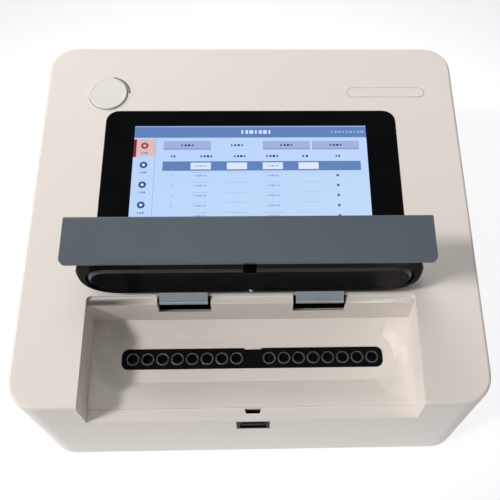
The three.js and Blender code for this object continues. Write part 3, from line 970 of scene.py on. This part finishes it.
@dataclass
class Studio:
    """Camera, lights and floor."""

    eye: Point = (6.8 * MM, -242.84 * MM, 535.37 * MM)
    elevation: float = 64.21
    yaw: float = 4.73
    roll: float = 3.79
    lens: float = 56.89
    shift: tuple[float, float] = (-0.0832, 0.0238)
    nearest: float = 10 * MM
    sky: float = 0.17
    sky_colour: Colour = (1.0, 0.99, 0.975)
    key_strength: float = 1.62
    key_spread: float = 9.0
    key_colour: Colour = (1.0, 0.985, 0.965)
    key_heading: Point = (0.74, 0.31, -1.0)
    floor_size: float = 8.0
    # the floor's painted glow, near the machine and far off
    floor_near: Colour = (0.86, 0.86, 0.86)
    floor_far: Colour = (0.38, 0.38, 0.38)
    floor_reach: tuple[float, float] = (0.66, 0.48)
    floor_middle: Point = (0.0, 0.03, 0.0)
    floor_gain: float = 1.7
    floor_blotch: float = 0.5

    LAMPS = (
        Lamp("overhead", place=(0.0, 0.12, 1.4), target=(0.0, 0.0, 0.1), size=0.45, power=2.4,
             colour=(1.0, 0.985, 0.96)),
        Lamp("rear", place=(-0.6, 1.2, 0.9), target=(0.0, 0.0, 0.1), size=0.9, power=9.0,
             colour=(1.0, 0.99, 0.975)),
        Lamp("card", place=(-0.1, -1.3, 0.68), target=(0.0, -0.06, 0.12), size=1.1, power=0.95,
             colour=(0.92, 0.97, 1.0)),
        Lamp("side", place=(-1.3, -0.25, 0.4), target=(0.0, -0.05, 0.1), size=0.6, power=6.0,
             colour=(1.0, 0.99, 0.985)),
    )

    def camera(self) -> None:
        """Stands the camera above the front edge, looking down."""
        elevation, yaw, roll = (math.radians(a) for a in (self.elevation, self.yaw, self.roll))
        level = Vector((math.sin(yaw), math.cos(yaw), 0.0)) * math.cos(elevation)
        ahead = level - Vector((0.0, 0.0, math.sin(elevation)))
        right = Vector((math.cos(yaw), -math.sin(yaw), 0.0))
        upward = right.cross(ahead)
        across = math.cos(roll) * right + math.sin(roll) * upward
        upright = -math.sin(roll) * right + math.cos(roll) * upward
        turn = Matrix((across, upright, -ahead)).transposed().to_4x4()
        data = bpy.data.cameras.new("camera")
        data.lens = self.lens
        data.shift_x, data.shift_y = self.shift
        data.clip_start = self.nearest
        camera = bpy.data.objects.new("camera", data)
        bpy.context.scene.collection.objects.link(camera)
        camera.matrix_world = Matrix.Translation(self.eye) @ turn
        bpy.context.scene.camera = camera

    def key(self) -> None:
        """The key light: a distant source on the left, a little towards the front."""
        data = bpy.data.lights.new("key", "SUN")
        data.energy = self.key_strength
        data.angle = math.radians(self.key_spread)
        data.color = self.key_colour
        key = bpy.data.objects.new("key", data)
        bpy.context.scene.collection.objects.link(key)
        key.rotation_euler = Vector(self.key_heading).to_track_quat("-Z", "Y").to_euler()

    def backdrop(self) -> None:
        """A plain pale sky all around."""
        world = bpy.data.worlds.new("sky")
        world.use_nodes = True
        background = world.node_tree.nodes["Background"]
        background.inputs["Color"].default_value = (*self.sky_colour, 1.0)
        background.inputs["Strength"].default_value = self.sky
        bpy.context.scene.world = world

    def floor(self) -> None:
        """Lays a floor at the height of the feet that glows with painted light, brightest in a pool around
        the machine.
        """
        graph = Graph("glowing_floor")
        across, along = self.floor_reach
        pool = graph.add("ShaderNodeTexGradient", {"gradient_type": "SPHERICAL"},
                         {"Vector": graph.place((1 / across, 1 / along, 1.0), self.floor_middle)})
        # painted light: the floor's glow, bright near the machine and dimmer far off
        glow = self.floor_gain * Value(graph, pool.outputs[1])
        graph.surface_gets(
            Base_Color=graph.mix(graph.noise(self.floor_blotch), srgb(122, 122, 121), srgb(118, 118, 117)),
            Roughness=0.9,
            Specular_IOR_Level=0.0,
            Emission_Color=graph.mix(glow, self.floor_far, self.floor_near),
            Emission_Strength=1.0,
        )
        clear_selection()
        bpy.ops.mesh.primitive_plane_add(size=self.floor_size, location=(0.0, 0.0, 0.0))
        plane = bpy.context.object
        plane.name = "floor"
        plane.data.materials.append(graph.material)
        plane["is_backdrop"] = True

    def build(self) -> None:
        """Sets the studio up: camera, sky, the key light, the lamps around the machine and the floor."""
        bpy.context.scene.view_settings.view_transform = "Standard"
        self.camera()
        self.backdrop()
        self.key()
        for lamp in self.LAMPS:
            lamp.hang()
        self.floor()


# ---------------------------------------------------------------- housing


@dataclass
class Housing:
    """The ivory shell with its recess, the label plate and the crescent beside the power button, whose grey
    is painted shade.
    """

    rim_round: float = 0.7 * MM
    seam_round: float = 0.3 * MM
    steps: int = 4
    fold: float = 23.5                              # the shell's flat faces meet at more degrees than this
    recess_gap: float = 0.5 * MM
    recess_rear: float = -58 * MM

    TRIM = (Rounding("label_plate", "nameplate", 0.15 * MM, 2, "nameplate", Finishes.LABEL),
            # painted shade: the crescent beside the power button is grey where its groove is in shade
            Rounding("light_guide", "status_light", 0.1 * MM, 2, "status_light", Finishes.CRESCENT_SHADE))

    def shell(self) -> None:
        """The shell, with the recess's rim rounded more than the other edges of its top face."""
        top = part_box("upper_housing")[1].z
        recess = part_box("lid_shell")[1].x + self.recess_gap
        piece = Piece.of_node("housing_shell", "upper_housing")

        def on_rim(point: Vector) -> bool:
            """Whether a point is on the recess's sides or its rear edge."""
            return abs(point.x) < recess + HAIR and point.y < self.recess_rear

        for rim, width in ((True, self.rim_round), (False, self.seam_round)):
            piece.pick_edges(lambda a, b: min(a.z, b.z) > top - HAIR
                             and (on_rim(a) and on_rim(b)) is rim, CORNER)
            piece.bevel(width, self.steps)
        piece.smooth(self.fold).done(Body.HOUSING, "housing_plastic", Finishes.IVORY, "upper_housing")

    def build(self) -> None:
        """Makes the housing's own pieces."""
        self.shell()
        for trim in self.TRIM:
            trim.make(Body.HOUSING)


@dataclass(frozen=True)
class Tile:
    """One flat field of the lit page, placed from the middle of the page, sign, tab, row or cell it is in."""

    x: float
    y: float
    width: float
    depth: float
    layer: int
    ink: Colour
    round: bool = False

    def moved(self, x: float, y: float) -> "Tile":
        """The same tile, further right and further back."""
        return replace(self, x=self.x + x, y=self.y + y)


@dataclass(frozen=True)
class Writing:
    """A line of writing, shown as a row of plain dashes."""

    width: float
    depth: float
    dashes: int
    ink: Colour
    layer: int = 5

    def at(self, x: float, y: float) -> Iterator[Tile]:
        """Lays the dashes in a row, some longer than others.

        Args:
            x: The row's middle, from left to right.
            y: The row's middle, from front to rear.

        Returns:
            The tiles.
        """
        pitch = self.width / self.dashes
        for i in range(self.dashes):
            middle = x - self.width / 2 + (i + 0.5) * pitch
            share = 0.62 + 0.2 * ((i * 7) % 3 - 1)
            yield Tile(middle, y, pitch * share, self.depth, self.layer, self.ink)


@dataclass
class Display:
    """The touch display: cover glass with a black border, and the lit page in its window."""

    page_width: float = 149.8 * MM
    page_depth: float = 93.6 * MM
    page_x: float = -0.5 * MM
    page_y: float = 14.2 * MM
    glass_edge: float = 0.25 * MM
    window: float = 0.12 * MM
    window_gap: float = 0.05 * MM
    layer: float = 0.02 * MM
    header: float = 9.0 * MM
    header_glint: float = 0.8 * MM
    line_drop: float = 0.2 * MM
    title_x: float = 3.2 * MM
    clock_x: float = 62.5 * MM
    side: float = 14.0 * MM
    side_rule: float = 0.25 * MM
    rule_inset: float = 0.1 * MM
    signs: int = 6
    first_sign: float = 31.7 * MM
    sign_pitch: float = 14.55 * MM
    name_drop: float = 5.6 * MM
    tabs: int = 4
    open_tab: int = 1
    first_tab: float = -40.7 * MM
    tab_pitch: float = 31.75 * MM
    tab_y: float = 31.9 * MM
    heads_y: float = 23.5 * MM
    rows: int = 8
    first_row: float = 16.2 * MM
    row_pitch: float = 7.25 * MM
    row_start: float = -49.4 * MM
    columns: tuple[float, ...] = (-31.8 * MM, -8.9 * MM, 13.9 * MM, 36.7 * MM)

    PAPER = srgb(203, 222, 250)
    BAR = srgb(104, 136, 186)
    # painted highlight: the light strip along the header's rear edge
    BAR_GLINT = srgb(168, 190, 226)
    DARK = srgb(46, 58, 96)
    FAINT = srgb(150, 168, 214)
    WHITE = srgb(236, 240, 255)
    ROSE = srgb(176, 78, 62)
    HALO = srgb(238, 196, 190)

    RING = Tile(0.0, 0.0, 4.9 * MM, 4.9 * MM, 4, srgb(66, 88, 138), round=True)
    EYE = Tile(0.0, 0.0, 1.9 * MM, 1.9 * MM, 5, WHITE, round=True)
    CHOSEN_SIGN = (Tile(0.4 * MM, -1.5 * MM, 12.6 * MM, 13 * MM, 2, HALO),
                   Tile(-6.1 * MM, -1.9 * MM, 1.8 * MM, 13.4 * MM, 4, srgb(140, 38, 28)))
    TAB = (Tile(0.0, 0.0, 30.4 * MM, 6.6 * MM, 3, srgb(176, 184, 222)),
           Tile(0.0, -2.9 * MM, 30.4 * MM, 0.9 * MM, 4, srgb(148, 158, 200)))
    CHOSEN_ROW = Tile(7.1 * MM, 0.0, 126 * MM, 7.0 * MM, 3, BAR)
    ROW_DOT = Tile(54.9 * MM, 0.0, 1.9 * MM, 1.9 * MM, 5, srgb(92, 112, 160), round=True)
    CHOSEN_CELL = Tile(0.0, 0.0, 12.8 * MM, 5.0 * MM, 4, WHITE)
    CELL_RULE = Tile(0.0, 2.4 * MM, 12.8 * MM, 0.3 * MM, 4, srgb(178, 192, 230))

    TITLE = Writing(20.5 * MM, 2.6 * MM, 7, WHITE)
    CLOCK = Writing(22 * MM, 1.4 * MM, 9, srgb(160, 186, 224))
    SIGN_NAME = Writing(4.6 * MM, 1.2 * MM, 3, srgb(120, 134, 178))
    TAB_NAME = Writing(9 * MM, 1.3 * MM, 4, DARK)
    ROW_NUMBER = Writing(1.2 * MM, 1.2 * MM, 1, FAINT)
    ENTRY = Writing(8.2 * MM, 1.1 * MM, 5, FAINT, layer=6)
    HEADS = (
        (-49.6 * MM, Writing(3.6 * MM, 1.5 * MM, 2, DARK)),
        (-28.4 * MM, Writing(8.6 * MM, 1.5 * MM, 4, DARK)),
        (-7.2 * MM, Writing(8.4 * MM, 1.5 * MM, 4, DARK)),
        (13.6 * MM, Writing(8.8 * MM, 1.5 * MM, 4, DARK)),
        (34.6 * MM, Writing(4.8 * MM, 1.5 * MM, 2, DARK)),
        (55.6 * MM, Writing(3.6 * MM, 1.5 * MM, 2, DARK)),
    )

    def tiles(self) -> Iterator[Tile]:
        """Lays the page out: a header, a column of round signs, four tabs and a table of cells."""
        rear = self.page_depth / 2
        head = rear - self.header / 2
        line = head - self.line_drop
        yield Tile(0.0, 0.0, self.page_width, self.page_depth, 1, self.PAPER)
        yield Tile(0.0, head, self.page_width, self.header, 2, self.BAR)
        # painted highlight: a light strip drawn along the header's rear edge as a glint
        yield Tile(0.0, rear - self.header_glint / 2, self.page_width, self.header_glint, 3, self.BAR_GLINT)
        yield from self.TITLE.at(self.title_x, line)
        yield from self.CLOCK.at(self.clock_x, line)
        yield from self.sign_column()
        yield from self.tab_row()
        yield from self.table()

    def sign_column(self) -> Iterator[Tile]:
        """Lays the round signs down the left side; the first one is the chosen one."""
        x = self.side / 2 - self.page_width / 2
        rule = x + self.side / 2 - self.rule_inset
        yield Tile(rule, -self.header / 2, self.side_rule, self.page_depth - self.header, 3, self.FAINT)
        for tile in self.CHOSEN_SIGN:
            yield tile.moved(x, self.first_sign)
        for i in range(self.signs):
            y = self.first_sign - i * self.sign_pitch
            yield replace(self.RING, ink=self.RING.ink if i else self.ROSE).moved(x, y)
            yield replace(self.EYE, ink=self.EYE.ink if i else self.HALO).moved(x, y)
            yield from self.SIGN_NAME.at(x, y - self.name_drop)

    def tab_row(self) -> Iterator[Tile]:
        """Lays the tabs in a row; the open one has no ground of its own."""
        for i in range(self.tabs):
            x = self.first_tab + i * self.tab_pitch
            if i != self.open_tab:
                for tile in self.TAB:
                    yield tile.moved(x, self.tab_y)
            yield from self.TAB_NAME.at(x, self.tab_y)

    def table(self) -> Iterator[Tile]:
        """Lays the column heads and the rows of cells; the first row is the chosen one."""
        for x, head in self.HEADS:
            yield from head.at(x, self.heads_y)
        for row in range(self.rows):
            y = self.first_row - row * self.row_pitch
            if row == 0:
                yield self.CHOSEN_ROW.moved(0.0, y)
            else:
                yield from self.ROW_NUMBER.at(self.row_start, y)
                yield self.ROW_DOT.moved(0.0, y)
            for i, x in enumerate(self.columns):
                yield (self.CELL_RULE if row else self.CHOSEN_CELL).moved(x, y)
                if i % 2 == 0:
                    yield from self.ENTRY.at(x, y)

    def lay(self, tile: Tile, base: float) -> Piece:
        """Makes one tile, with its ink on its corners.

        Args:
            tile: The tile.
            base: The height of the window's floor.

        Returns:
            The tile's piece.
        """
        x, y = self.page_x + tile.x, self.page_y + tile.y
        height = base + tile.layer * self.layer
        if tile.round:
            piece = Piece.column("tile", tile.width / 2, x, y, base, height, sides=28)
        else:
            low = (x - tile.width / 2, y - tile.depth / 2, base)
            piece = Piece.block("tile", low, (x + tile.width / 2, y + tile.depth / 2, height))
        ink = piece.obj.data.color_attributes.new(name=LitPage.ink, type="FLOAT_COLOR", domain="CORNER")
        for corner in ink.data:
            corner.color = (*tile.ink, 1.0)
        return piece

    def build(self) -> None:
        """Makes the glass and the page, and dresses the module behind them."""
        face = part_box("display_glass")[1].z
        floor = face - self.window
        half_x = self.page_width / 2 + self.window_gap
        half_y = self.page_depth / 2 + self.window_gap
        glass = Piece.of_node("cover_glass", "display_glass").soften(self.glass_edge, 3)
        glass.cut(Piece.block("window", (self.page_x - half_x, self.page_y - half_y, floor),
                              (self.page_x + half_x, self.page_y + half_y, face + OVERSHOOT)))
        glass.smooth().done(Body.HOUSING, "display_glass", Finishes.GLASS, "display_glass")
        first, *others = (self.lay(tile, floor) for tile in self.tiles())
        page = Piece(first.join(others).obj, "lit_page")
        page.done(Body.HOUSING, "display_glass", Finishes.PAGE)
        dress(Finishes.SHEET, "display_panel")


@dataclass
class PowerButton:
    """The round power button with its raised rim, and the switch and spring under it."""

    rim: float = 1.5 * MM
    rim_round: float = 0.8 * MM
    slope: float = 0.35 * MM
    dish: float = 0.22 * MM
    skirt: float = 4.6 * MM
    stem: float = 3.0 * MM
    stem_bite: float = 0.4 * MM
    fold: float = 50.0

    def build(self) -> None:
        """Makes the button; its switch and spring keep their frame shape."""
        low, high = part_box("power_button")
        middle = middle_of("power_button")
        skirt_end = high.z - self.skirt
        radius = (high.x - low.x) / 2
        cap = Piece.column("power_cap", radius, middle.x, middle.y, skirt_end, high.z, sides=96)
        cap.pick_above(high.z).bevel(self.rim_round, 4)
        cap.pick_faces(lambda c, n: c.z > high.z - HAIR and n.z > FACING).inset(self.rim - self.rim_round)
        cap.inset(self.slope, -self.dish)
        stem_end = skirt_end + self.stem_bite
        cap.weld(Piece.column("stem", self.stem, middle.x, middle.y, low.z, stem_end, sides=48))
        cap.smooth(self.fold).done(Body.BUTTON, "button_plastic", Finishes.CREAM, "power_button")
        dress(Finishes.BLACK, "button_switch")
        dress(Finishes.STEEL, "button_spring")


@dataclass
class TubeBlock:
    """The black strip and the aluminium block with its sixteen wells."""

    first: float = 9.95 * MM
    pitch: float = 9.0 * MM
    per_side: int = 8
    ring: float = 3.85 * MM
    ring_gap: float = 0.3 * MM
    ring_round: float = 0.16 * MM
    bore: float = 3.15 * MM
    tip: float = 1.4 * MM
    straight: float = 4.5 * MM
    depth: float = 15.0 * MM
    slab_round: float = 0.4 * MM
    corner: float = 4.0 * MM
    waist: float = 11.0 * MM
    waist_depth: float = 0.9 * MM
    waist_round: float = 0.8 * MM
    strip_round: float = 0.2 * MM
    sides: int = 48

    def row(self, model: Piece) -> Piece:
        """Stands a copy of a piece at every well.

        Args:
            model: A piece that stands at x = 0; it is used up.

        Returns:
            The copies as one piece.
        """
        right = [self.first + i * self.pitch for i in range(self.per_side)]
        places = [-x for x in reversed(right)] + right
        first, *others = (model.copy("copy", (x, 0.0, 0.0)) for x in places)
        bpy.data.objects.remove(model.obj)
        return first.join(others)

    def bar(self, radius: float, y: float, low: float, high: float) -> Piece:
        """A round bar standing at x = 0."""
        return Piece.column("bar", radius, 0.0, y, low, high, self.sides)

    def block(self) -> None:
        """The block: a slab, a raised ring around each well, and the tapered wells."""
        low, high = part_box("well_block")
        y = middle_of("well_block").y
        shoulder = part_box("well_strip")[0].z - self.ring_gap
        throat = high.z - self.straight
        slab = Piece.block("tube_block", low, (high.x, high.y, shoulder)).soften(self.slab_round)
        slab.weld(self.row(self.bar(self.ring, y, shoulder - OVERSHOOT, high.z)))
        well = self.bar(self.bore, y, throat, high.z + OVERSHOOT).pick_faces(lambda c, n: n.z < -FACING)
        well.extrude(self.straight - self.depth, self.tip / self.bore, (0.0, y, throat))
        slab.cut(self.row(well))
        slab.pick_above(high.z, CORNER).bevel(self.ring_round, 2)
        slab.smooth().done(Body.HOUSING, "well_block", Finishes.BLOCK, "well_block")

    def strip(self) -> None:
        """The strip around the rings, with its small waist between the two groups."""
        low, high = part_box("well_strip")
        y = middle_of("well_strip").y
        under, over = low.z - OVERSHOOT, high.z + OVERSHOOT

        def upright(a: Vector, b: Vector) -> bool:
            """Whether an edge goes up from one end to the other."""
            return abs(a.z - b.z) > MM

        strip = Piece.block("well_surround", low, high).pick_edges(upright).bevel(self.corner, 8)
        waist = Piece.block("waist", (-self.waist / 2, high.y - self.waist_depth, under),
                            (self.waist / 2, high.y + OVERSHOOT, over))
        waist.pick_edges(lambda a, b: upright(a, b) and max(a.y, b.y) < high.y).bevel(self.waist_round, 4)
        strip.cut(waist)
        strip.cut(self.row(self.bar(self.ring + self.ring_gap, y, under, over)))
        strip.pick_above(high.z, CORNER).bevel(self.strip_round, 2)
        strip.smooth().done(Body.HOUSING, "well_strip", Finishes.STRIP, "well_strip")

    def build(self) -> None:
        """Makes the block and the strip, and dresses the cooling parts under them."""
        self.block()
        self.strip()
        dress(Finishes.CERAMIC, "heat_pump_left", "heat_pump_right")
        dress(Finishes.ALUMINIUM, "heat_sink")
        dress(Finishes.BLACK, "fan_frame", "fan_rotor")


# ---------------------------------------------------------------- base and insides


@dataclass(frozen=True)
class Screw:
    """A round-headed screw with a cross recess, standing upright with its head at the low end."""

    head: float
    head_height: float
    shank: float
    crown: float = 0.6                              # how much of the head's height is rounded
    shank_bite: float = 0.2 * MM
    taper: float = 0.4                              # how much of the shank's radius its tip loses
    cross_reach: float = 0.62                       # the cross's reach, as a share of the head's radius
    cross_half: float = 0.32 * MM
    cross_depth: float = 0.35 * MM

    def drive(self, name: str, node: str, body: Body) -> None:
        """Makes the screw in place of one of the frame's.

        Args:
            name: The piece's name.
            node: The node whose place it takes.
            body: The body that it rides on.
        """
        low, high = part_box(node)
        x, y, _ = middle_of(node)
        neck = low.z + self.head_height
        screw = Piece.column(name, self.head, x, y, low.z, neck, sides=40)
        screw.pick_below(low.z).bevel(self.head_height * self.crown, 4)
        shank = Piece.column("shank", self.shank, x, y, neck - self.shank_bite, high.z, sides=24)
        screw.weld(shank.pick_above(high.z).bevel(self.shank * self.taper, 2))
        long, thin = self.head * self.cross_reach, self.cross_half
        for half_x, half_y in ((long, thin), (thin, long)):
            screw.cut(Piece.block("cross", (x - half_x, y - half_y, low.z - OVERSHOOT),
                                  (x + half_x, y + half_y, low.z + self.cross_depth)))
        screw.smooth().done(body, "screw_steel", Finishes.STEEL, node)


@dataclass
class Base:
    """The base pan with its air slots, four rubber feet and four screws."""

    tread_round: float = 1.1 * MM
    sole_rim: float = 2.2 * MM
    hollow: float = 0.6 * MM

    PAN = Rounding("floor_pan", "base_pan", 0.2 * MM, 2, "base_metal", Finishes.PAN)
    SCREW = Screw(head=3.1 * MM, head_height=0.9 * MM, shank=1.5 * MM)

    def feet(self) -> None:
        """Makes one foot with a hollow sole, and copies it to the other corners."""
        low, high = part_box("foot_1")
        middle = middle_of("foot_1")
        radius = (high.x - low.x) / 2
        foot = Piece.column("rubber_foot_1", radius, middle.x, middle.y, low.z, high.z, sides=56)
        foot.pick_below(low.z).bevel(self.tread_round, 4)
        foot.pick_faces(lambda c, n: n.z < -FACING and c.z < low.z + HAIR).inset(self.sole_rim)
        foot.extrude(self.hollow)
        copies = [foot.copy(f"rubber_foot_{i}", middle_of(f"foot_{i}") - middle) for i in range(2, 5)]
        for i, piece in enumerate([foot, *copies], 1):
            piece.smooth().done(Body.HOUSING, "foot_rubber", Finishes.RUBBER, f"foot_{i}")

    def build(self) -> None:
        """Makes the base's pieces."""
        self.PAN.make(Body.HOUSING)
        self.feet()
        for i in range(1, 5):
            self.SCREW.drive(f"pan_screw_{i}", f"base_screw_{i}", Body.HOUSING)


@dataclass
class Electronics:
    """Boards, power supply and the two sockets in the rear face."""

    SOCKETS = (Rounding("jack", "power_socket", 0.12 * MM, 2, "black_plastic", Finishes.BLACK),
               Rounding("port_shell", "data_socket", 0.1 * MM, 2, "socket_metal", Finishes.NICKEL))

    def build(self) -> None:
        """Rounds the sockets' edges and dresses what is inside."""
        for socket in self.SOCKETS:
            socket.make(Body.HOUSING)
        dress(Finishes.BOARD, "main_board", "display_board")
        dress(Finishes.ALUMINIUM, "power_supply")


# ---------------------------------------------------------------- latch, hinges and lid


@dataclass
class Latch:
    """The front latch: a black frame, the button in it with its ridge, and the catch behind."""

    FRAME = Rounding("latch_frame", "latch_bezel", 0.25 * MM, 3, "black_plastic", Finishes.LATCH)
    KEY = Rounding("latch_key", "latch_button", 0.2 * MM, 2, "latch_plastic", Finishes.LATCH)
    CATCH = Rounding("catch_plate", "latch_catch", 0.3 * MM, 2, "pin_steel", Finishes.STEEL)

    def build(self) -> None:
        """Makes the latch's pieces."""
        self.FRAME.make(Body.HOUSING)
        self.KEY.make(Body.LATCH)
        self.CATCH.make(Body.LATCH)


@dataclass
class Hinges:
    """The two hinge brackets and their pins."""

    bracket_round: float = 0.3 * MM
    pin_round: float = 0.4 * MM

    def pin(self, name: str, node: str) -> None:
        """Makes a pin with rounded ends.

        Args:
            name: The piece's name.
            node: The node whose place it takes.
        """
        low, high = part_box(node)
        radius, length = (high.z - low.z) / 2, high.x - low.x
        pin = Piece.disc(name, radius, tuple(middle_of(node)), length, Axis.X, sides=40)
        pin.pick_edges(lambda a, b: min(a.x, b.x) > high.x - HAIR or max(a.x, b.x) < low.x + HAIR)
        pin.bevel(self.pin_round, 3).smooth().done(Body.HOUSING, "pin_steel", Finishes.STEEL, node)

    def build(self) -> None:
        """Makes both hinges."""
        for side in ("left", "right"):
            Rounding(f"bracket_{side}", f"hinge_bracket_{side}", self.bracket_round, 2, "hinge_metal",
                     Finishes.NICKEL).make(Body.HOUSING)
            self.pin(f"pin_{side}", f"hinge_pin_{side}")


@dataclass
class Lid:
    """The slate lid with its black tray, heater plate, hook and the two bent hinge arms."""

    strap_round: float = 0.2 * MM
    heater_bevel: float = 2.1 * MM
    heater_corner: float = 12.0 * MM
    coat: float = 0.1 * MM
    screw_x: float = -0.3 * MM
    screw_rise: float = 9.6 * MM
    screw_radius: float = 1.1 * MM
    screw_proud: float = 0.8 * MM
    screw_root: float = 0.4 * MM
    screw_dome: float = 0.75 * MM

    SHELLS = (Rounding("lid_cover", "lid_shell", 0.3 * MM, 3, "lid_plastic", Finishes.SLATE),
              Rounding("tray_shell", "lid_tray", 0.25 * MM, 2, "tray_plastic", Finishes.GLOSS),
              Rounding("lid_hook", "latch_hook", 0.4 * MM, 3, "tray_plastic", Finishes.GLOSS))
    PLATE = Rounding("heated_plate", "heater_plate", 0.2 * MM, 2, "heater_face", Finishes.BEVEL)
    SCREW = Screw(head=2.6 * MM, head_height=0.7 * MM, shank=1.15 * MM)

    def heater(self) -> None:
        """The heater plate with its bright bevel, and the black coat on its face."""
        self.PLATE.make(Body.HEATER)
        low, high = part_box("heater_plate")
        edge = self.heater_bevel
        coat = Piece.block("face_coat", (low.x + edge, low.y - self.coat, low.z + edge),
                           (high.x - edge, low.y + self.coat, high.z - edge))
        coat.pick_edges(lambda a, b: abs(a.y - b.y) > self.coat).bevel(self.heater_corner - edge, 10)
        coat.smooth().done(Body.HEATER, "heater_face", Finishes.HEATER)

    def straps(self) -> None:
        """The bent hinge arms and their screws."""
        for side in ("left", "right"):
            Rounding(f"hinge_strap_{side}", f"hinge_arm_{side}", self.strap_round, 2, "hinge_metal",
                     Finishes.NICKEL).make(Body.LID)
        for i in range(1, 5):
            self.SCREW.drive(f"strap_screw_{i}", f"arm_screw_{i}", Body.LID)

    def tray_screw(self) -> None:
        """The small domed screw in the tray's rim."""
        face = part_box("lid_tray")[0].y
        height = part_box("upper_housing")[1].z + self.screw_rise
        front, rear = face - self.screw_proud, face + self.screw_root
        screw = Piece.disc("tray_screw", self.screw_radius, (self.screw_x, (front + rear) / 2, height),
                           rear - front, Axis.Y, sides=32)
        screw.pick_edges(lambda a, b: max(a.y, b.y) < front + HAIR).bevel(self.screw_dome, 5)
        screw.smooth().done(Body.LID, "screw_steel", Finishes.NICKEL)

    def build(self) -> None:
        """Makes the lid's pieces."""
        for shell in self.SHELLS:
            shell.make(Body.LID)
        self.heater()
        self.straps()
        self.tray_screw()
        dress(Finishes.SHEET, "heater_backing")
        dress(Finishes.FOAM, "heater_insulation")


def main() -> None:
    """Builds the studio and the machine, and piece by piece."""
    cad_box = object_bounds()
    for part in (Studio(), Housing(), Display(), PowerButton(), TubeBlock(), Base(), Electronics(), Latch(),
                 Hinges(), Lid()):
        part.build()
    visual_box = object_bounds()
    [[list(map(float, corner)) for corner in box] for box in (cad_box, visual_box)]


if __name__ == "__main__":
    logging.basicConfig(level=logging.INFO, format="%(message)s")
    main()
